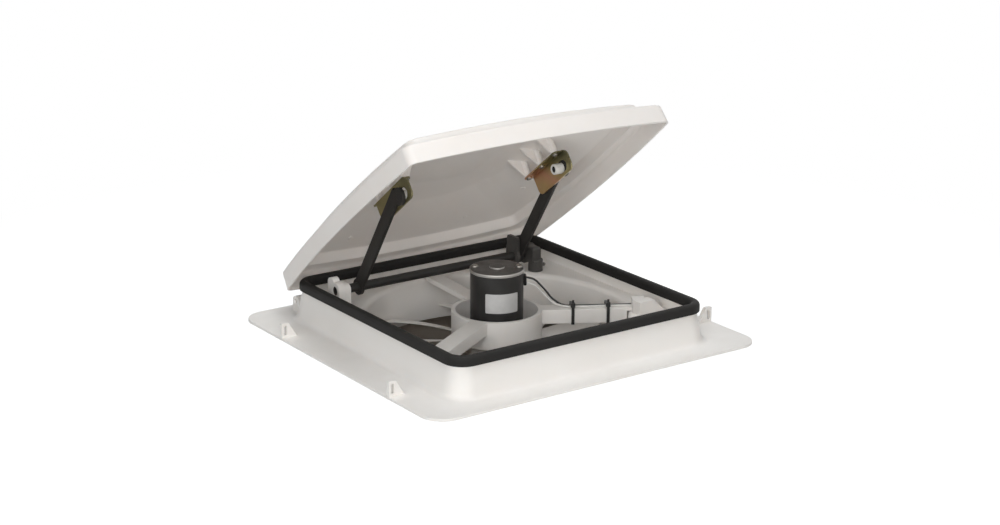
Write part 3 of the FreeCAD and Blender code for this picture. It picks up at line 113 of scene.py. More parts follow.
class NodeKit:
    """Adds and links nodes in one node tree."""

    def __init__(self, tree: bpy.types.NodeTree) -> None:
        """Keeps the tree that the nodes go into."""
        self.tree = tree

    def add(self, kind: str, **settings: object) -> bpy.types.Node:
        """Adds a node.

        Args:
            kind: The node's type, without its ShaderNode prefix.
            settings: Attributes to set on the node.

        Returns:
            The new node.
        """
        node = self.tree.nodes.new("ShaderNode" + kind)
        for name, value in settings.items():
            setattr(node, name, value)
        return node

    def join(self, source: Socket, target: Socket) -> None:
        """Links two sockets."""
        self.tree.links.new(source, target)

    def feed(self, target: Socket, value: object) -> None:
        """Links a socket to the target, or sets the target where the value is a constant.

        Args:
            target: The socket to fill.
            value: Socket or constant.
        """
        if isinstance(value, Socket):
            self.join(value, target)
        else:
            target.default_value = value

    def through(self, kind: str, given: dict[str | int, object], result: str | int = 0,
                **settings: object) -> Socket:
        """Adds a node, fills its inputs and takes one result.

        Args:
            kind: The node's type, without its ShaderNode prefix.
            given: Sockets or constants by the inputs' names or numbers.
            result: Name or number of the output to take.
            settings: Attributes to set on the node.

        Returns:
            The result's socket.
        """
        node = self.add(kind, **settings)
        for name, value in given.items():
            self.feed(node.inputs[name], value)
        return node.outputs[result]

    def facing(self) -> Socket:
        """Gives the surface's own normal."""
        return self.through("NewGeometry", {}, "Normal")

    def place(self) -> Socket:
        """Gives the place on the piece."""
        return self.through("TexCoord", {}, "Object")

    def rise(self, vector: Socket) -> Socket:
        """Gives a vector's Z."""
        return self.through("SeparateXYZ", {0: vector}, "Z")

    def soften(self, radius: object) -> Socket:
        """Gives the normal, rounded near edges by a radius."""
        return self.through("Bevel", {"Radius": radius}, samples=EDGE_SAMPLES)

    def math(self, operation: str, *values: object, clamp: bool = False) -> Socket:
        """Gives what a Math node makes of sockets or numbers, held between 0 and 1 if asked."""
        return self.through("Math", dict(enumerate(values)), operation=operation, use_clamp=clamp)

    def measure(self, operation: str, *vectors: Socket) -> Socket:
        """Gives the number that a Vector Math node makes of vectors."""
        return self.through("VectorMath", dict(enumerate(vectors)), "Value", operation=operation)

    def span(self, value: Socket, low: float, high: float,
             to_low: float = 0.0, to_high: float = 1.0) -> Socket:
        """Maps a value from one range to another, held at both ends."""
        ends = {"From Min": low, "From Max": high, "To Min": to_low, "To Max": to_high}
        return self.through("MapRange", {"Value": value, **ends}, "Result")

    def blend(self, factor: Socket, first: object, second: object) -> Socket:
        """Mixes two colours.

        Args:
            factor: Share of the second colour.
            first: Socket or colour.
            second: Socket or colour.

        Returns:
            The mixed colour's socket.
        """
        given: dict[str | int, object] = {0: factor}
        for number, value in ((MIX_FIRST, first), (MIX_SECOND, second)):
            given[number] = (*value, 1.0) if isinstance(value, tuple) else value
        return self.through("Mix", given, MIX_RESULT, data_type="RGBA")

    def noise(self, vector: Socket, scale: object, detail: float, roughness: float) -> Socket:
        """Gives noise of a scale, with so many octaves and the strength of the finer ones."""
        strength = {"Scale": scale, "Detail": detail, "Roughness": roughness}
        return self.through("TexNoise", {"Vector": vector, **strength})

    def stretch(self, vector: Socket, scale: Triple, turn: Triple = (0.0, 0.0, 0.0)) -> Socket:
        """Stretches coordinates along each axis and turns them about each, in degrees."""
        angles = [math.radians(angle) for angle in turn]
        return self.through("Mapping", {"Vector": vector, "Scale": scale, "Rotation": angles})

    def effect(self, kind: Effect, **inputs: object) -> Socket:
        """Places a shared effect, with sockets or numbers for its named inputs."""
        return self.through("Group", inputs, node_tree=EffectGroup.shared(kind))


class EffectGroup:
    """Node group of one shared effect, built once and kept."""

    _shelf: dict[Effect, bpy.types.NodeTree] = {}

    def __init__(self, kind: Effect) -> None:
        """Makes the group's sockets and fills it.

        Args:
            kind: Which effect.
        """
        name, result, numbers = kind.value
        tree = bpy.data.node_groups.new(name, "ShaderNodeTree")
        sockets = tree.interface
        sockets.new_socket(name="Vector", in_out="INPUT", socket_type="NodeSocketVector")
        for label, default in numbers.items():
            number = sockets.new_socket(name=label, in_out="INPUT", socket_type="NodeSocketFloat")
            number.default_value = default
        sockets.new_socket(name=result, in_out="OUTPUT", socket_type="NodeSocketFloat")
        self.kit = NodeKit(tree)
        self.given = tree.nodes.new("NodeGroupInput").outputs
        out = tree.nodes.new("NodeGroupOutput").inputs
        makers: dict[Effect, Callable[[], Socket]] = {
            Effect.CLOUD: self.cloud, Effect.GRAIN: self.grain, Effect.DUST: self.dust,
            Effect.EDGE: self.edge, Effect.SCUFF: self.scuff, Effect.DRAWN: self.drawn}
        self.kit.join(makers[kind](), out[0])

    @classmethod
    def shared(cls, kind: Effect) -> bpy.types.NodeTree:
        """Gives an effect's node group.

        Args:
            kind: Which effect.

        Returns:
            The group, built on first use.
        """
        if kind not in cls._shelf:
            cls._shelf[kind] = cls(kind).kit.tree
        return cls._shelf[kind]

    def noise(self, detail: float, roughness: float) -> Socket:
        """Adds noise at the group's own coordinates and scale."""
        return self.kit.noise(self.given["Vector"], self.given["Scale"], detail, roughness)

    def broken(self, mask: Socket, patch: Socket) -> Socket:
        """Breaks a mask into patches, at the group's own amount."""
        part = self.kit.math("MULTIPLY", mask, patch)
        return self.kit.math("MULTIPLY", part, self.given["Amount"], clamp=True)

    def cloud(self) -> Socket:
        """Gives a broad, soft drift of tone."""
        return self.kit.span(self.noise(detail=4.0, roughness=0.55), low=0.34, high=0.68)

    def grain(self) -> Socket:
        """Adds the fine texture of a moulded or sprayed skin.

        Returns:
            Its height.
        """
        fine = self.noise(detail=3.0, roughness=0.6)
        wide = self.kit.math("MULTIPLY", self.given["Scale"], COARSE_SCALE)
        coarse = self.kit.noise(self.given["Vector"], wide, detail=1.0, roughness=0.5)
        return self.kit.math("MULTIPLY_ADD", coarse, COARSE_SHARE, fine)

    def dust(self) -> Socket:
        """Adds dust that settles on faces that look up.

        Returns:
            Its mask.
        """
        upward = self.kit.span(self.kit.rise(self.kit.facing()), low=0.15, high=0.95)
        patch = self.kit.span(self.noise(detail=5.0, roughness=0.65), low=0.35, high=0.75)
        return self.broken(upward, patch)

    def edge(self) -> Socket:
        """Finds edges, where a rounded normal leaves the face's own, for edge wear and painted edge
        highlights.

        Returns:
            Their mask.
        """
        rounded = self.kit.soften(self.given["Radius"])
        likeness = self.kit.measure("DOT_PRODUCT", rounded, self.kit.facing())
        edge_band = self.kit.span(likeness, low=0.985, high=0.86)
        patch = self.kit.span(self.noise(detail=4.0, roughness=0.6), low=0.38, high=0.66)
        return self.broken(edge_band, patch)

    def scuff(self) -> Socket:
        """Adds thin crossing scuffs.

        Returns:
            Their mask.
        """
        lines: list[Socket] = []
        for turn in SCUFF_TURNS:
            along = self.kit.stretch(self.given["Vector"], SCUFF_STRETCH, turn)
            value = self.kit.noise(along, self.given["Scale"], detail=3.0, roughness=0.5)
            away = self.kit.math("ABSOLUTE", self.kit.math("SUBTRACT", value, NOISE_MIDDLE))
            lines.append(self.kit.span(away, low=SCUFF_WIDTH, high=0.0))
        return self.kit.math("MAXIMUM", *lines)

    def drawn(self) -> Socket:
        """Adds lines along Z, left by drawing or rolling."""
        along = self.kit.stretch(self.given["Vector"], DRAWN_STRETCH)
        return self.kit.noise(along, self.given["Scale"], detail=4.0, roughness=0.7)


@dataclass(frozen=True)
class Ground:
    """What a finish is laid on: its nodes, the place on the piece and the drift of tone."""

    kit: NodeKit
    place: Socket
    cloud: Socket


@dataclass(frozen=True)
class Finish:
    """A moulded, painted or plated surface.

    The colour drifts towards a second tone, the roughness follows the drift, a fine grain gives the
    bump, and dust and an edge colour lie over it: real wear on the black paints, a painted highlight
    on the zinc and the cap.
    """

    name: str
    colour: Colour
    tone: Colour
    roughness: Span
    metallic: float = 0.0
    specular: float = 0.5
    cloud_scale: float = 14.0
    grain_scale: float = 2000.0
    grain_depth: float = 0.00003
    edge_radius: float = 0.0007
    dust: float = 0.0
    dust_colour: Colour = (0.42, 0.40, 0.37)
    wear_and_highlight: float = 0.0
    wear_and_highlight_colour: Colour = (0.35, 0.33, 0.31)
    scuffs: float = 0.0
    translucency: float = 0.0
    glow_depth: float = 0.0025
    glow_spread: Colour = (1.0, 0.9, 0.82)

    def build(self) -> bpy.types.Material:
        """Builds the finish.

        Returns:
            The new material.
        """
        material = bpy.data.materials.new(self.name)
        material.use_nodes = True
        kit = NodeKit(material.node_tree)
        shader = material.node_tree.nodes["Principled BSDF"].inputs
        place = kit.place()
        cloud = kit.effect(Effect.CLOUD, Vector=place, Scale=self.cloud_scale)
        ground = Ground(kit, place, cloud)
        colour = self.base_colour(ground)
        rough = kit.span(cloud, 0.0, 1.0, *self.roughness)
        if self.scuffs:
            mark = kit.effect(Effect.SCUFF, Vector=place)
            rough = kit.math("MULTIPLY_ADD", mark, self.scuffs, rough, clamp=True)
        # Edge colour: real wear on the black paints, a painted highlight on the passivated zinc and the
        # cap.
        if self.wear_and_highlight:
            wear_and_highlight_mask = kit.effect(Effect.EDGE, Vector=place, Radius=self.edge_radius * WEAR_AND_HIGHLIGHT_REACH,
                             Amount=self.wear_and_highlight)
            colour = kit.blend(wear_and_highlight_mask, colour, self.wear_and_highlight_colour)
        if self.dust:
            film = kit.effect(Effect.DUST, Vector=place, Amount=self.dust)
            colour = kit.blend(film, colour, self.dust_colour)
            rough = kit.math("MULTIPLY_ADD", film, DUST_ROUGHNESS, rough, clamp=True)
        looks = {"Base Color": colour, "Roughness": rough, "Normal": self.relief(ground),
                 "Metallic": self.metallic, "Specular IOR Level": self.specular,
                 "Subsurface Weight": self.translucency, "Subsurface Radius": self.glow_spread,
                 "Subsurface Scale": self.glow_depth}
        for name, look in looks.items():
            kit.feed(shader[name], look)
        return material

    def base_colour(self, ground: Ground) -> Socket:
        """Gives the colour before wear and dust."""
        return ground.kit.blend(ground.cloud, self.colour, self.tone)

    def height(self, ground: Ground) -> Socket:
        """Gives the height of the fine texture."""
        return ground.kit.effect(Effect.GRAIN, Vector=ground.place, Scale=self.grain_scale)

    def relief(self, ground: Ground) -> Socket:
        """Gives the normal of softened edges with the fine texture on them."""
        texture = {"Distance": self.grain_depth, "Height": self.height(ground)}
        return ground.kit.through("Bump", {**texture, "Normal": ground.kit.soften(self.edge_radius)})


@dataclass(frozen=True)
class PassivatedZinc(Finish):
    """Zinc with a yellow passivated film, olive above and rosy amber where it drained below."""

    film_scale: float = 11.0
    film_turn: Triple = (20.0, 35.0, 10.0)
    film_node: str = "lid_bracket_right"
    film_drift: float = 0.7
    film_reach: float = 1.0
    thin_film: float = 0.08
    thick_films: tuple[tuple[float, Colour], ...] = (
        (0.36, (0.35, 0.305, 0.15)), (0.56, (0.50, 0.385, 0.18)),
        (0.76, (0.66, 0.36, 0.22)), (0.98, (0.60, 0.40, 0.19)))
    tone_share: float = 0.2

    def base_colour(self, ground: Ground) -> Socket:
        """Colours the film by its thickness, which grows downwards and drifts.

        Args:
            ground: What the finish is laid on.

        Returns:
            The colour's socket.
        """
        kit = ground.kit
        low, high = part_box(self.film_node)
        drained = kit.span(kit.rise(ground.place), low[2], high[2], self.film_reach, 0.0)
        turned = kit.stretch(ground.place, (1.0, 1.0, 1.0), self.film_turn)
        drift = kit.noise(turned, self.film_scale, detail=1.0, roughness=0.4)
        sway = kit.math("SUBTRACT", drift, NOISE_MIDDLE)
        film = kit.math("MULTIPLY_ADD", sway, self.film_drift, drained)
        ramp = kit.add("ValToRGB")
        elements = ramp.color_ramp.elements
        stops = ((self.thin_film, self.colour), *self.thick_films)
        elements[0].position = stops[0][0]
        elements[1].position = stops[-1][0]
        for position, _ in stops[1:-1]:
            elements.new(position)
        for element, (_, colour) in zip(elements, stops):
            element.color = (*colour, 1.0)
        kit.join(film, ramp.inputs[0])
        share = kit.math("MULTIPLY", ground.cloud, self.tone_share)
        return kit.blend(share, ramp.outputs[0], self.tone)


@dataclass(frozen=True)
class SpunCap(Finish):
    """Metal spun about the fan axis, with fine rings, a dull top and a lighter side that is a painted
    highlight.
    """

    side_highlight_colour: Colour = (0.46, 0.445, 0.42)
    upward: Span = (0.5, 0.93)
    ring_scale: float = 1500.0
    ring_detail: float = 3.0

    def base_colour(self, ground: Ground) -> Socket:
        """Gives the dull colour to what faces up and a painted highlight colour to what faces sideways.
        """
        upward = ground.kit.span(ground.kit.rise(ground.kit.facing()), *self.upward)
        return ground.kit.blend(upward, self.side_highlight_colour, super().base_colour(ground))

    def height(self, ground: Ground) -> Socket:
        """Lays rings by the distance from the axis.

        Args:
            ground: What the finish is laid on.

        Returns:
            The height's socket.
        """
        kit = ground.kit
        away = kit.measure("LENGTH", kit.stretch(ground.place, (1.0, 1.0, 0.0)))
        rings = {"W": away, "Scale": self.ring_scale, "Detail": self.ring_detail}
        return kit.through("TexNoise", rings, noise_dimensions="1D")


@dataclass(frozen=True)
class DrawnMetal(Finish):
    """Metal with lines along Z from drawing or rolling."""

    def height(self, ground: Ground) -> Socket:
        """Gives the height of the lines."""
        return ground.kit.effect(Effect.DRAWN, Vector=ground.place, Scale=self.grain_scale)


WHITE_DUST: Colour = (0.55, 0.52, 0.47)
# The zinc's light edge colour is a painted highlight.
YELLOW_ZINC = PassivatedZinc(
    "yellow passivated zinc", (0.22, 0.205, 0.11), (0.16, 0.155, 0.095), (0.26, 0.42),
    metallic=0.85, cloud_scale=18.0, grain_scale=1200.0, grain_depth=0.00002, wear_and_highlight=0.55,
    wear_and_highlight_colour=(0.72, 0.66, 0.52))
FINISHES: dict[str, Finish] = {
    "white_plastic": Finish(
        "white moulded plastic", (0.915, 0.888, 0.855), (0.885, 0.853, 0.815), (0.34, 0.46),
        cloud_scale=9.0, grain_scale=1500.0, grain_depth=0.00004, edge_radius=0.0011,
        dust=0.09, dust_colour=WHITE_DUST, scuffs=0.12, translucency=0.25),
    "lid_plastic": Finish(
        "lid plastic", (0.918, 0.877, 0.842), (0.893, 0.847, 0.807), (0.38, 0.5),
        cloud_scale=7.0, grain_scale=1300.0, grain_depth=0.00005, edge_radius=0.0016,
        dust=0.07, dust_colour=WHITE_DUST, scuffs=0.1, translucency=0.3),
    "roller_plastic": Finish(
        "roller plastic", (0.82, 0.81, 0.785), (0.78, 0.765, 0.73), (0.26, 0.38),
        cloud_scale=60.0, grain_scale=2600.0, grain_depth=0.00001, edge_radius=0.0006),
    "black_rubber": Finish(
        "seal rubber", (0.014, 0.0135, 0.0128), (0.02, 0.019, 0.018), (0.55, 0.72),
        specular=0.16, cloud_scale=24.0, grain_scale=2200.0, grain_depth=0.00006,
        edge_radius=0.001, dust=0.05, dust_colour=(0.14, 0.13, 0.12)),
    "black_paint": Finish(
        "satin black paint", (0.0195, 0.0185, 0.017), (0.026, 0.0248, 0.023), (0.42, 0.55),
        specular=0.34, cloud_scale=30.0, grain_scale=1600.0, dust=0.06,
        dust_colour=(0.12, 0.115, 0.11), wear_and_highlight=0.28, wear_and_highlight_colour=(0.16, 0.155, 0.15)),
    "black_pin": Finish(
        "black oxide", (0.012, 0.012, 0.0125), (0.02, 0.02, 0.02), (0.3, 0.45), metallic=0.4,
        cloud_scale=80.0, grain_scale=1800.0, grain_depth=0.00002, edge_radius=0.0004),
    "yellow_zinc": YELLOW_ZINC,
    "olive_zinc": replace(
        YELLOW_ZINC, name="olive passivated zinc", film_node="lid_bracket_left", film_reach=0.55),
    "bright_steel": Finish(
        "bright zinc plate", (0.60, 0.585, 0.56), (0.50, 0.485, 0.46), (0.2, 0.34), metallic=1.0,
        cloud_scale=220.0, grain_scale=2400.0, grain_depth=0.00001, edge_radius=0.0003),
    "screw_steel": Finish(
        "dulled screw steel", (0.34, 0.325, 0.30), (0.24, 0.225, 0.20), (0.24, 0.4), metallic=1.0,
        cloud_scale=260.0, grain_scale=2400.0, grain_depth=0.00001, edge_radius=0.0003,
        wear_and_highlight=0.6, wear_and_highlight_colour=(0.75, 0.73, 0.70)),
    "washer_steel": Finish(
        "dark washer steel", (0.16, 0.155, 0.15), (0.11, 0.105, 0.1), (0.3, 0.45), metallic=0.9,
        cloud_scale=240.0, grain_scale=2400.0, grain_depth=0.00001, edge_radius=0.0002,
        wear_and_highlight=0.6, wear_and_highlight_colour=(0.6, 0.58, 0.55)),
    "ground_steel": DrawnMetal(
        "ground steel bar", (0.56, 0.555, 0.55), (0.48, 0.475, 0.47), (0.18, 0.3), metallic=1.0,
        cloud_scale=120.0, grain_scale=1400.0, grain_depth=0.00001, edge_radius=0.0003),
    # The cap's lighter sides and bright edge colour are painted highlights.
    "cap_metal": SpunCap(
        "dull cap steel", (0.115, 0.109, 0.103), (0.085, 0.08, 0.076), (0.36, 0.5), metallic=0.7,
        cloud_scale=45.0, grain_depth=0.00002, edge_radius=0.0008, dust=0.12,
        dust_colour=(0.2, 0.19, 0.175), wear_and_highlight=0.75, wear_and_highlight_colour=(0.70, 0.685, 0.66)),
    "can_paint": DrawnMetal(
        "motor can lacquer", (0.025, 0.0243, 0.0237), (0.034, 0.033, 0.032), (0.34, 0.46),
        specular=0.42, cloud_scale=40.0, grain_scale=1000.0, grain_depth=0.000015,
        edge_radius=0.0006, dust=0.06, dust_colour=(0.14, 0.135, 0.13), wear_and_highlight=0.2,
        wear_and_highlight_colour=(0.22, 0.21, 0.2)),
    "housing_plastic": Finish(
        "dark housing plastic", (0.050, 0.0475, 0.0445), (0.068, 0.0645, 0.06), (0.46, 0.6),
        specular=0.4, cloud_scale=36.0, grain_scale=1400.0, grain_depth=0.00005,
        edge_radius=0.0009, dust=0.14, dust_colour=(0.22, 0.21, 0.195)),
    "gear_plastic": Finish(
        "natural nylon", (0.66, 0.63, 0.54), (0.6, 0.565, 0.47), (0.35, 0.48),
        cloud_scale=60.0, edge_radius=0.0004),
    "worm_steel": Finish(
        "turned steel", (0.46, 0.455, 0.445), (0.36, 0.35, 0.335), (0.22, 0.36), metallic=1.0,
        cloud_scale=90.0, grain_scale=1800.0, grain_depth=0.00002, edge_radius=0.0004),
    "core_steel": Finish(
        "lamination steel", (0.12, 0.118, 0.115), (0.17, 0.165, 0.16), (0.4, 0.55), metallic=0.9,
        cloud_scale=70.0, grain_depth=0.00004, edge_radius=0.0003),
    "copper": Finish(
        "turned copper", (0.62, 0.27, 0.14), (0.48, 0.19, 0.1), (0.24, 0.4), metallic=1.0,
        cloud_scale=90.0, grain_depth=0.00002, edge_radius=0.0003),
    "ferrite": Finish(
        "ground ferrite", (0.04, 0.04, 0.041), (0.06, 0.06, 0.06), (0.55, 0.7),
        cloud_scale=60.0, grain_depth=0.00006, edge_radius=0.0004),
    "brush_phenolic": Finish(
        "brown phenolic", (0.075, 0.042, 0.024), (0.1, 0.06, 0.035), (0.45, 0.6),
        cloud_scale=70.0, grain_depth=0.00004, edge_radius=0.0004),
    "bronze": Finish(
        "sintered bronze", (0.42, 0.24, 0.095), (0.34, 0.19, 0.08), (0.4, 0.55), metallic=0.9,
        cloud_scale=90.0, grain_depth=0.00005, edge_radius=0.0003),
    "black_insulation": Finish(
        "black lead insulation", (0.013, 0.013, 0.013), (0.02, 0.02, 0.02), (0.36, 0.48),
        cloud_scale=60.0, grain_depth=0.00001, edge_radius=0.0002),
    "white_insulation": Finish(
        "white lead insulation", (0.76, 0.75, 0.72), (0.70, 0.685, 0.65), (0.36, 0.48),
        cloud_scale=60.0, grain_depth=0.00001, edge_radius=0.0002),
    "tie_nylon": Finish(
        "black nylon", (0.014, 0.0138, 0.0135), (0.021, 0.0205, 0.02), (0.4, 0.52),
        cloud_scale=80.0, grain_depth=0.00002, edge_radius=0.0003),
    "label_foil": Finish(
        "bare silver plate", (0.70, 0.70, 0.695), (0.62, 0.62, 0.615), (0.34, 0.5), metallic=0.35,
        cloud_scale=70.0, grain_scale=900.0, grain_depth=0.00001, edge_radius=0.0002, scuffs=0.15),
}
NODE_FINISH: dict[str, str] = {"lid_shell": "lid_plastic", "motor_can": "can_paint",
                               "lid_bracket_left": "olive_zinc"}


class PaintShop:
    """Builds each finish once and puts it on solids and pieces."""

    def __init__(self) -> None:
        """Starts with no material built."""
        self._built: dict[str, bpy.types.Material] = {}

    def material(self, name: str) -> bpy.types.Material:
        """Gives a finish's material.

        Args:
            name: Key of the finish.

        Returns:
            The material, built on first use.
        """
        if name not in self._built:
            self._built[name] = FINISHES[name].build()
        return self._built[name]

    def dress(self, piece: Piece, finish: str, body: str) -> Piece:
        """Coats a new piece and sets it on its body.

        Args:
            piece: The piece.
            finish: Key of its finish.
            body: The body that it moves with.

        Returns:
            The same piece.
        """
        piece.data.materials.clear()
        piece.data.materials.append(self.material(finish))
        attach(piece, body)
        return piece

    def coat_solids(self) -> int:
        """Gives every solid of the frame its finish.

        Returns:
            How many solids were dressed.
        """
        for entry in FRAME["record"]["subparts"]:
            solid = FRAME["nodes"][entry["node"]]
            finish = NODE_FINISH.get(entry["node"], entry["material_slot"])
            for slot in solid.material_slots:
                slot.material = self.material(finish)
            if not solid.material_slots:
                solid.data.materials.append(self.material(finish))
        return len(FRAME["record"]["subparts"])


class Bench:
    """Hand tools for shaping a mesh."""

    @staticmethod
    def take(*pieces: Piece) -> None:
        """Selects pieces and nothing else, the first one active.

        Args:
            pieces: The pieces, or none to deselect everything.
        """
        bpy.ops.object.select_all(action="DESELECT")
        for piece in pieces:
            piece.select_set(True)
        if pieces:
            bpy.context.view_layer.objects.active = pieces[0]

    @staticmethod
    @contextmanager
    def editing(piece: Piece) -> Iterator[None]:
        """Opens one piece in edit mode with nothing selected.

        Args:
            piece: The piece.

        Yields:
            Nothing, while the piece is open.
        """
        Bench.take(piece)
        bpy.ops.object.mode_set(mode="EDIT")
        bpy.ops.mesh.select_all(action="DESELECT")
        yield
        bpy.ops.object.mode_set(mode="OBJECT")

    @staticmethod
    def pick(piece: Piece, part: Part, wanted: Callable[..., bool]) -> None:
        """Selects the parts of a mesh that pass a test, and nothing else.

        Args:
            piece: The piece, open in edit mode.
            part: Which parts are tested.
            wanted: The test.
        """
        mode, row = part.value
        bpy.ops.mesh.select_mode(type=mode)
        bpy.ops.mesh.select_all(action="DESELECT")
        for item in getattr(bmesh.from_edit_mesh(piece.data), row):
            item.select_set(wanted(item))
        bmesh.update_edit_mesh(piece.data)

    @staticmethod
    def crown(piece: Piece, top: float, offset: float, steps: int, profile: float) -> None:
        """Rounds the upper edge of a piece that is open in edit mode."""
        Bench.pick(piece, Part.EDGE, lambda edge: all(v.co.z > top * TOP_SHARE for v in edge.verts))
        bpy.ops.mesh.bevel(offset=offset, segments=steps, profile=profile)

    @staticmethod
    def push(rise: float) -> None:
        """Extrudes what is selected along Z."""
        bpy.ops.mesh.extrude_region_move(TRANSFORM_OT_translate={"value": (0.0, 0.0, rise)})

    @staticmethod
    def settle(piece: Piece) -> None:
        """Moves a piece's place, turn and scale into its mesh."""
        Bench.take(piece)
        bpy.ops.object.transform_apply(location=True, rotation=True, scale=True)

    @staticmethod
    def finish_modifier(piece: Piece, modifier: bpy.types.Modifier) -> None:
        """Applies one modifier."""
        Bench.take(piece)
        bpy.ops.object.modifier_apply(modifier=modifier.name)

    @staticmethod
    def smooth(piece: Piece) -> None:
        """Shades a piece smooth apart from its sharp edges."""
        Bench.take(piece)
        bpy.ops.object.shade_smooth_by_angle(angle=math.radians(SHADE_ANGLE))

    @staticmethod
    def rod(sides: int, radius: float, low: float, high: float, ends: str = "NGON") -> Piece:
        """Adds a cylinder about Z.

        Args:
            sides: How many sides it has.
            radius: Its radius.
            low: Level of its lower end.
            high: Level of its upper end.
            ends: How its ends are filled.

        Returns:
            The cylinder, its place in its mesh.
        """
        Bench.take()
        bpy.ops.mesh.primitive_cylinder_add(vertices=sides, radius=radius, depth=high - low,
                                            end_fill_type=ends, location=(0.0, 0.0, (low + high) / 2))
        rod = bpy.context.object
        Bench.settle(rod)
        return rod

    @staticmethod
    def stand(place: Vector, out: Vector) -> Matrix:
        """Gives the move that stands a piece made at the origin on a place, its +Z outwards."""
        return Matrix.Translation(place) @ out.to_track_quat("Z", "Y").to_matrix().to_4x4()

    @staticmethod
    def repeat(master: Piece, places: list[Matrix], name: str) -> Piece:
        """Copies a master to several places, removes it and joins the copies.

        Args:
            master: The piece at the origin.
            places: Where each copy goes.
            name: Name of the joined result.

        Returns:
            All copies as one object.
        """
        copies: list[Piece] = []
        for place in places:
            copy = master.copy()
            copy.data = master.data.copy()
            copy.data.transform(place)
            bpy.context.scene.collection.objects.link(copy)
            copies.append(copy)
        bpy.data.objects.remove(master)
        Bench.take(*copies)
        if len(copies) > 1:
            bpy.ops.object.join()
        copies[0].name = name
        copies[0].data.name = name
        return copies[0]


@dataclass
class ScrewPlace:
    """Seat of one screw, read from its plain solid."""

    seat: Vector
    out: Vector
    head_radius: float
    head_height: float
    shank_radius: float
    length: float


@dataclass
class ScrewReader:
    """Finds the screws in a node's mesh."""

    node: str
    steps_per_metre: float = 1e6
    normal_digits: int = 2
    rim_share: float = 0.96

    @property
    def mesh(self) -> bpy.types.Mesh:
        """Gives the node's mesh."""
        return FRAME["nodes"][self.node].data

    def islands(self) -> list[list[int]]:
        """Groups the mesh's faces into separate bodies.

        Returns:
            The face numbers of each body.
        """
        mesh = self.mesh
        owner: dict[tuple[int, ...], int] = {}
        parent = list(range(len(mesh.polygons)))

        def root(index: int) -> int:
            """Finds the first face of a face's body.

            Args:
                index: Number of the face.

            Returns:
                Number of the first face.
            """
            while parent[index] != index:
                parent[index] = parent[parent[index]]
                index = parent[index]
            return index

        for face in mesh.polygons:
            for corner in face.vertices:
                place = mesh.vertices[corner].co
                key = tuple(round(value * self.steps_per_metre) for value in place)
                if key in owner:
                    parent[root(face.index)] = root(owner[key])
                else:
                    owner[key] = face.index
        bodies: dict[int, list[int]] = {}
        for face in mesh.polygons:
            bodies.setdefault(root(face.index), []).append(face.index)
        return list(bodies.values())

    def places(self) -> list[ScrewPlace]:
        """Measures each body of the node as one screw."""
        return [self.measure(faces) for faces in self.islands()]

    def measure(self, numbers: list[int]) -> ScrewPlace:
        """Measures one screw by its flat ends and its widest ring.

        Args:
            numbers: Face numbers of its body.

        Returns:
            Its seat, direction and sizes.
        """
        mesh = self.mesh
        faces = [mesh.polygons[number] for number in numbers]
        flat: dict[tuple[float, ...], float] = {}
        for face in faces:
            key = tuple(round(value, self.normal_digits) for value in face.normal)
            flat[key] = flat.get(key, 0.0) + face.area
        axis = Vector(max(flat, key=lambda key: flat[key])).normalized()
        corners = [mesh.vertices[index].co.copy() for face in faces for index in face.vertices]
        along = [corner.dot(axis) for corner in corners]
        middle = (min(along) + max(along)) / 2
        ends = [[c for c, t in zip(corners, along) if (t > middle) == upper] for upper in (True, False)]
        centre = Vector((0.0, 0.0, 0.0))
        for low_high in (min, max):
            centre += Vector([low_high(corner[i] for corner in corners) for i in range(3)]) / 2
        centre -= axis * centre.dot(axis)

        def reach(corner: Vector) -> float:
            """Gives the distance of a corner from the screw's middle line."""
            return (corner - axis * corner.dot(axis) - centre).length

        wide = [max(reach(corner) for corner in end) for end in ends]
        out = axis if wide[0] > wide[1] else -axis
        head = max(wide)
        depth = [corner.dot(out) for corner in corners]
        seat = min(t for corner, t in zip(corners, depth) if reach(corner) > self.rim_share * head)
        return ScrewPlace(seat=centre + out * seat, out=out, head_radius=head,
                          head_height=max(depth) - seat, shank_radius=min(wide),
                          length=seat - min(depth))


@dataclass
class SeatedSet(ABC):
    """Small parts modelled once and set at the seat of every screw of one node."""

    node: str
    body: str
    finish: str
    ending: str
    slot: str = "bright_steel"

    def build(self, shop: PaintShop) -> Piece:
        """Models one, copies it to every seat and dresses the set.

        Args:
            shop: Gives the finish.

        Returns:
            The set.
        """
        places = ScrewReader(self.node).places()
        seats = [Bench.stand(place.seat, place.out) for place in places]
        piece = Bench.repeat(self.model(places[0]), seats, self.node + self.ending)
        return shop.dress(piece, self.finish, self.body)

    @abstractmethod
    def model(self, size: ScrewPlace) -> Piece:
        """Models one part at the origin, its head along +Z, each kind in its own way."""


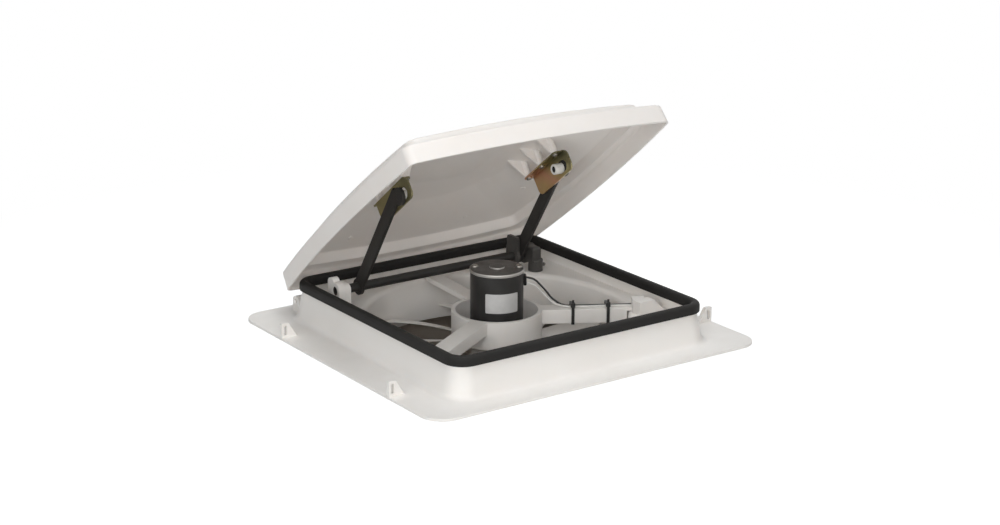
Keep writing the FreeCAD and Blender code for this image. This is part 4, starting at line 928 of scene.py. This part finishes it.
@dataclass
class CrossScrews(SeatedSet):
    """Pan-head screws with a cross recess that stand for one node of plain screws."""

    ending: str = "_cross"
    sides: int = 28
    lift: float = 0.0
    recess_reach: float = 0.62
    recess_width: float = 0.2
    recess_depth: float = 0.55
    recess_taper: Triple = (0.6, 0.8, 1.0)
    crown_share: float = 0.72
    crown_steps: int = 5
    crown_profile: float = 0.62

    def build(self, shop: PaintShop) -> Piece:
        """Builds the screws and lets them stand for the node.

        Args:
            shop: Gives the finish.

        Returns:
            The set of screws.
        """
        piece = super().build(shop)
        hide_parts(self.node)
        return piece

    def model(self, size: ScrewPlace) -> Piece:
        """Models one screw at the origin with its head along +Z.

        Args:
            size: Its measured sizes.

        Returns:
            The screw.
        """
        radius, height = size.head_radius, size.head_height
        screw = Bench.rod(self.sides, radius, self.lift, height)
        with Bench.editing(screw):
            Bench.crown(screw, height, (height - self.lift) * self.crown_share,
                        self.crown_steps, self.crown_profile)
            Bench.pick(screw, Part.FACE, lambda face: face.normal.z < -FLAT)
            bpy.ops.mesh.inset(thickness=radius - size.shank_radius)
            Bench.push(-size.length - self.lift)
        self.cut_recess(screw, radius, height)
        Bench.smooth(screw)
        return screw

    def cut_recess(self, screw: Piece, radius: float, height: float) -> None:
        """Cuts the cross into the head, its arms tapering towards the bottom.

        Args:
            screw: The screw at the origin.
            radius: Radius of the head.
            height: Height of the head.
        """
        floor = height * (1.0 - self.recess_depth)
        for turn in (0.0, math.pi / 2):
            Bench.take()
            bpy.ops.mesh.primitive_cube_add(size=1.0, location=(0.0, 0.0, floor + height / 2))
            arm = bpy.context.object
            arm.scale = (2 * radius * self.recess_reach, 2 * radius * self.recess_width, height)
            Bench.settle(arm)
            with Bench.editing(arm):
                Bench.pick(arm, Part.FACE, lambda face: face.normal.z < -FLAT)
                bpy.ops.transform.resize(value=self.recess_taper, center_override=(0.0, 0.0, floor))
            arm.rotation_euler = (0.0, 0.0, turn)
            Bench.settle(arm)
            cut = screw.modifiers.new("recess", "BOOLEAN")
            cut.operation = "DIFFERENCE"
            cut.solver = "EXACT"
            cut.object = arm
            Bench.finish_modifier(screw, cut)
            bpy.data.objects.remove(arm)


@dataclass
class LockWashers(SeatedSet):
    """Toothed washers under the heads of one node's screws."""

    finish: str = "washer_steel"
    ending: str = "_washers"
    teeth: int = 10
    band: float = 0.8 * MM
    tooth: float = 0.75 * MM
    tooth_taper: float = 0.22 * MM
    thickness: float = 0.5 * MM

    def model(self, size: ScrewPlace) -> Piece:
        """Models one washer at the origin: a ring whose alternate outer faces grow into teeth.

        Args:
            size: Measured sizes of the screw above it.

        Returns:
            The washer.
        """
        outer = size.head_radius + self.band
        washer = Bench.rod(2 * self.teeth, outer, 0.0, self.thickness)
        with Bench.editing(washer):
            Bench.pick(washer, Part.FACE, self.is_tooth)
            bpy.ops.mesh.inset(thickness=self.tooth_taper, depth=self.tooth, use_individual=True)
            Bench.pick(washer, Part.FACE, self.is_end)
            bpy.ops.mesh.inset(thickness=outer - size.shank_radius)
            bpy.ops.mesh.bridge_edge_loops()
        Bench.smooth(washer)
        return washer

    @staticmethod
    def is_end(face: bmesh.types.BMFace) -> bool:
        """Tells whether a face is one of the ring's two flat ends."""
        return abs(face.normal.z) > FLAT and len(face.verts) > SIDE_CORNERS

    def is_tooth(self, face: bmesh.types.BMFace) -> bool:
        """Tells whether an outer face grows into a tooth.

        Args:
            face: A face of the plain ring.

        Returns:
            Whether it is every second one round the outside.
        """
        middle = face.calc_center_median()
        step = math.pi / self.teeth
        number = round((math.atan2(middle.y, middle.x) - step / 2) / step)
        return abs(face.normal.z) < UPRIGHT and number % 2 == 0


@dataclass
class MotorPlate:
    """Bare silver plate wrapped on the motor can."""

    start: float = -150.4
    end: float = -75.5
    low: float = 31.5 * MM
    high: float = 55.0 * MM
    stand_off: float = 0.03 * MM
    thickness: float = 0.18 * MM
    corner: float = 2.6 * MM
    corner_steps: int = 4
    sides: int = 240
    weld: float = 0.001 * MM

    def build(self, shop: PaintShop) -> Piece:
        """Cuts the plate out of a sleeve round the can and dresses it.

        Args:
            shop: Gives the finish.

        Returns:
            The plate.
        """
        low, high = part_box("motor_can")
        radius = (high[0] - low[0]) / 2 + self.stand_off
        plate = Bench.rod(self.sides, radius, self.low, self.high, ends="NOTHING")
        with Bench.editing(plate):
            Bench.pick(plate, Part.FACE, lambda face: not self.covers(face.calc_center_median()))
            bpy.ops.mesh.delete(type="FACE")
            Bench.pick(plate, Part.CORNER, lambda corner: len(corner.link_edges) == 2)
            bpy.ops.mesh.bevel(offset=self.corner, segments=self.corner_steps, affect="VERTICES",
                               clamp_overlap=False)
            bpy.ops.mesh.select_all(action="SELECT")
            bpy.ops.mesh.remove_doubles(threshold=self.weld)
        wall = plate.modifiers.new("wall", "SOLIDIFY")
        wall.thickness = self.thickness
        wall.offset = 1.0
        Bench.finish_modifier(plate, wall)
        Bench.smooth(plate)
        plate.name = "motor_plate"
        return shop.dress(plate, "label_foil", "base")

    def covers(self, point: Vector) -> bool:
        """Tells whether a point of the sleeve lies within the plate."""
        return self.start < math.degrees(math.atan2(point.y, point.x)) < self.end


@dataclass
class View:
    """Camera at the photograph's place."""

    place: Triple = (-1.33857, -1.90311, 0.80147)
    azimuth: float = -35.21
    elevation: float = 17.12
    roll: float = 0.29
    lens: float = 74.512
    sensor: float = 36.0
    clip_end: float = 50.0

    def axes(self) -> Matrix:
        """Works out the directions of the camera.

        Returns:
            Right, up and back as the columns of a matrix.
        """
        turn, lift, roll = (math.radians(angle) for angle in (self.azimuth, self.elevation, self.roll))
        back = Vector((math.sin(turn) * math.cos(lift), -math.cos(turn) * math.cos(lift), math.sin(lift)))
        right = Vector((math.cos(turn), math.sin(turn), 0.0))
        up = back.cross(right)
        right, up = (right * math.cos(roll) + up * math.sin(roll),
                     up * math.cos(roll) - right * math.sin(roll))
        return Matrix((right, up, back)).transposed()

    def ray(self, pixel: tuple[float, float]) -> Vector:
        """Finds the direction from the camera through a pixel.

        Args:
            pixel: Place in the image, from its top left.

        Returns:
            The direction.
        """
        focal = self.lens * IMAGE_WIDTH / self.sensor
        local = Vector((pixel[0] - IMAGE_WIDTH / 2, IMAGE_HEIGHT / 2 - pixel[1], -focal))
        return (self.axes() @ local).normalized()

    def build(self) -> Piece:
        """Sets up the camera.

        Returns:
            The camera object.
        """
        lens = bpy.data.cameras.new("photo_camera")
        lens.sensor_fit = "HORIZONTAL"
        lens.sensor_width = self.sensor
        lens.lens = self.lens
        lens.clip_end = self.clip_end
        camera = bpy.data.objects.new("photo_camera", lens)
        camera.matrix_world = Matrix.Translation(self.place) @ self.axes().to_4x4()
        bpy.context.scene.collection.objects.link(camera)
        bpy.context.scene.camera = camera
        return camera


@dataclass
class EjectorMarks:
    """Small raised pips that the mould's ejectors leave under the lid."""

    view: View
    pixels: tuple[tuple[float, float], ...] = ((350.0, 238.0), (465.0, 217.0), (523.0, 188.0))
    radius: float = 3.2 * MM
    height: float = 0.8 * MM
    sunk: float = 0.3 * MM
    sides: int = 20
    crown_share: float = 0.6
    crown_steps: int = 4
    crown_profile: float = 0.5

    def build(self, shop: PaintShop) -> Piece:
        """Models one pip and sets a copy wherever a sight line meets the lid.

        Args:
            shop: Gives the finish.

        Returns:
            All pips.
        """
        lid = FRAME["nodes"]["lid_shell"]
        places: list[Matrix] = []
        for pixel in self.pixels:
            hit, point, normal, _ = lid.ray_cast(Vector(self.view.place), self.view.ray(pixel))
            if hit:
                places.append(Bench.stand(point - normal * self.sunk, normal))
        full = self.height + self.sunk
        pip = Bench.rod(self.sides, self.radius, 0.0, full)
        with Bench.editing(pip):
            Bench.crown(pip, full, full * self.crown_share, self.crown_steps, self.crown_profile)
        Bench.smooth(pip)
        piece = Bench.repeat(pip, places, "lid_ejector_marks")
        return shop.dress(piece, "lid_plastic", "lid")


@dataclass
class LidSkin:
    """The lid's moulding with the hair-thin folds at its crown's corners drawn flat."""

    node: str = "lid_shell"
    weld: float = 0.002 * MM
    fold_length: float = 6.0 * MM
    fold_width: float = 0.55 * MM
    fold_turn: float = 12.0
    same_side: float = 0.9
    true_corner: float = 0.87

    def build(self, shop: PaintShop) -> Piece:
        """Copies the lid, closes its folds and lets the copy stand for it.

        Args:
            shop: Gives the finish.

        Returns:
            The dressed lid.
        """
        solid = FRAME["nodes"][self.node]
        piece = bpy.data.objects.new("lid_skin", solid.data.copy())
        bpy.context.scene.collection.objects.link(piece)
        with Bench.editing(piece):
            bpy.ops.mesh.select_all(action="SELECT")
            bpy.ops.mesh.remove_doubles(threshold=self.weld)
            LOG.info("closed %d folds", self.draw_flat(piece))
            bpy.ops.mesh.select_all(action="SELECT")
            bpy.ops.mesh.dissolve_degenerate(threshold=self.weld)
        self.shade(piece, solid)
        shop.dress(piece, "lid_plastic", "lid")
        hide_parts(self.node)
        return piece

    def shade(self, piece: Piece, solid: Piece) -> None:
        """Gives each face the normals of the solid's face at the same place.

        Args:
            piece: The copy.
            solid: The lid's own solid.
        """
        faces = solid.data.polygons
        tree = KDTree(len(faces))
        for face in faces:
            tree.insert(face.center, face.index)
        tree.balance()
        corners, spots = solid.data.corner_normals, solid.data.vertices
        rows: list[Vector] = []
        for face in piece.data.polygons:
            facing = face.normal.copy()
            found = tree.find(
                face.center, filter=lambda index: faces[index].normal.dot(facing) > self.same_side)
            twin = faces[found[1]]
            for index in face.vertices:
                place = piece.data.vertices[index].co
                near = min(range(len(twin.vertices)),
                           key=lambda spot: (spots[twin.vertices[spot]].co - place).length)
                corner = corners[twin.loop_start + near].vector.copy()
                rows.append(corner if corner.dot(facing) > self.true_corner else facing)
        piece.data.normals_split_custom_set(rows)

    def draw_flat(self, piece: Piece) -> int:
        """Moves the tip of each thin folded face onto its long edge.

        Args:
            piece: The lid, open in edit mode.

        Returns:
            How many folds were closed.
        """
        mesh = bmesh.from_edit_mesh(piece.data)
        mesh.normal_update()
        closed = 0
        for face in mesh.faces:
            longest = max(face.edges, key=lambda edge: edge.calc_length())
            length = longest.calc_length()
            if length < self.fold_length or face.calc_area() * 2.0 / length > self.fold_width:
                continue
            if min(edge.calc_face_angle(0.0) for edge in face.edges) < math.radians(self.fold_turn):
                continue
            tip = next(corner for corner in face.verts if corner not in longest.verts)
            start, end = (corner.co for corner in longest.verts)
            tip.co = start.lerp(end, (tip.co - start).dot(end - start) / length ** 2)
            closed += 1
        bmesh.update_edit_mesh(piece.data)
        return closed


@dataclass
class Lamp:
    """One soft studio lamp."""

    name: str
    place: Triple
    size: float
    power: float
    colour: Colour
    aim: Triple = (0.0, 0.0, 0.08)

    def build(self) -> Piece:
        """Hangs the lamp.

        Returns:
            The lamp object.
        """
        light = bpy.data.lights.new(self.name, "AREA")
        light.shape = "SQUARE"
        light.size = self.size
        light.energy = self.power
        light.color = self.colour
        lamp = bpy.data.objects.new(self.name, light)
        lamp.location = self.place
        lamp.rotation_euler = (Vector(self.aim) - Vector(self.place)).to_track_quat("-Z", "Y").to_euler()
        bpy.context.scene.collection.objects.link(lamp)
        return lamp


@dataclass
class Studio:
    """Pale floor, white surroundings and soft lamps."""

    floor_half: float = 6.0
    floor_drop: float = 0.3 * MM
    recess_half: float = 185.0 * MM
    recess_depth: float = 90.0 * MM
    recess_edge: Span = (-10.0 * MM, -2.0 * MM)
    ambient: float = 0.02
    paper_colour: Colour = (0.84, 0.84, 0.835)
    paper_tone: Colour = (0.82, 0.82, 0.815)
    paper_roughness: float = 0.9
    paper_specular: float = 0.1
    fibre_scale: float = 3.0
    recess_shade_colour: Colour = (0.52, 0.465, 0.41)
    floor_glow: float = 0.6
    fade: Span = (0.42, 0.85)
    lamps: list[Lamp] = field(default_factory=lambda: [
        Lamp("key", (-1.1, -2.04, 0.96), 1.5, 18.0, (0.975, 0.99, 1.0)),
        Lamp("left", (-2.0, -1.2, 0.85), 1.4, 16.0, (0.995, 1.0, 1.0)),
        Lamp("low", (-0.2, -2.6, 0.45), 0.85, 5.6, (1.0, 0.93, 0.86)),
        Lamp("top", (0.1, -0.2, 2.4), 1.4, 31.5, (0.97, 0.988, 1.0))])

    def build(self) -> list[Piece]:
        """Builds the floor, the surroundings and the lamps.

        Returns:
            The objects made.
        """
        bpy.context.scene.view_settings.view_transform = "Standard"
        self.surround()
        return [self.floor(), *(lamp.build() for lamp in self.lamps)]

    @staticmethod
    def seen(kit: NodeKit) -> Socket:
        """Finds what the camera, a reflection or glass shows.

        Args:
            kit: The nodes to add to.

        Returns:
            A mask that is 1 there.
        """
        path = kit.add("LightPath").outputs
        direct = kit.math("MAXIMUM", path["Is Camera Ray"], path["Is Glossy Ray"])
        return kit.math("MAXIMUM", direct, path["Is Transmission Ray"])

    def surround(self) -> None:
        """Makes white surroundings that light the part at a lower level."""
        world = bpy.data.worlds.new("white_room")
        world.use_nodes = True
        bpy.context.scene.world = world
        kit = NodeKit(world.node_tree)
        backdrop = world.node_tree.nodes["Background"].inputs
        backdrop["Color"].default_value = WHITE
        kit.join(kit.span(self.seen(kit), 0.0, 1.0, self.ambient, 1.0), backdrop["Strength"])

    def floor(self) -> Piece:
        """Lays a pale floor under the flange, with a recess for the throat as in a roof.

        Returns:
            The floor.
        """
        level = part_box("base_frame")[0][2] - self.floor_drop
        Bench.take()
        bpy.ops.mesh.primitive_plane_add(size=2 * self.floor_half, location=(0.0, 0.0, level))
        floor = bpy.context.object
        floor.name = "studio_floor"
        Bench.settle(floor)
        with Bench.editing(floor):
            bpy.ops.mesh.select_all(action="SELECT")
            bpy.ops.mesh.inset(thickness=self.floor_half - self.recess_half)
            Bench.push(-self.recess_depth)
        floor.data.materials.append(self.floor_paper())
        return floor

    def floor_paper(self) -> bpy.types.Material:
        """Builds the floor's paper, which fades to white far from the part, with the recess painted dark
        brown as shade and not glowing.

        Returns:
            The material.
        """
        material = bpy.data.materials.new("studio_paper")
        material.use_nodes = True
        kit = NodeKit(material.node_tree)
        shader = material.node_tree.nodes["Principled BSDF"]
        paper = shader.inputs
        paper["Roughness"].default_value = self.paper_roughness
        paper["Specular IOR Level"].default_value = self.paper_specular
        paper["Emission Color"].default_value = WHITE
        place = kit.place()
        fibre = kit.effect(Effect.CLOUD, Vector=place, Scale=self.fibre_scale)
        above = kit.span(kit.rise(place), *self.recess_edge)
        sheet = kit.blend(fibre, self.paper_colour, self.paper_tone)
        # The recess takes a dark brown painted shade.
        kit.join(kit.blend(above, self.recess_shade_colour, sheet), paper["Base Color"])
        seen = kit.math("MULTIPLY", self.seen(kit), above)
        kit.join(kit.math("MULTIPLY", seen, self.floor_glow), paper["Emission Strength"])
        far = kit.span(kit.measure("LENGTH", place), *self.fade)
        faded = kit.through("MixShader", {0: kit.math("MULTIPLY", far, seen), 1: shader.outputs[0],
                                          2: kit.through("Emission", {})})
        kit.join(faded, material.node_tree.nodes["Material Output"].inputs["Surface"])
        return material


def main() -> None:
    """Builds the scene piece by piece."""
    logging.basicConfig(level=logging.INFO, format="%(name)s: %(message)s")
    shop = PaintShop()
    LOG.info("dressed %d solids", shop.coat_solids())
    view = View()
    LOG.info("set %s", view.build().name)
    washers = LockWashers("motor_cap_screws", "base")
    makers = (CrossScrews("bracket_screws", "lid", "screw_steel"),
              CrossScrews("motor_cap_screws", "base", "screw_steel", lift=washers.thickness),
              CrossScrews("motor_mount_screws", "base", "bright_steel"),
              CrossScrews("gear_housing_screws", "base", "bright_steel"),
              washers, MotorPlate(), EjectorMarks(view), LidSkin())
    for maker in makers:
        LOG.info("made %s", maker.build(shop).name)
    for thing in Studio().build():
        LOG.info("set %s", thing.name)


if __name__ == "__main__":
    main()
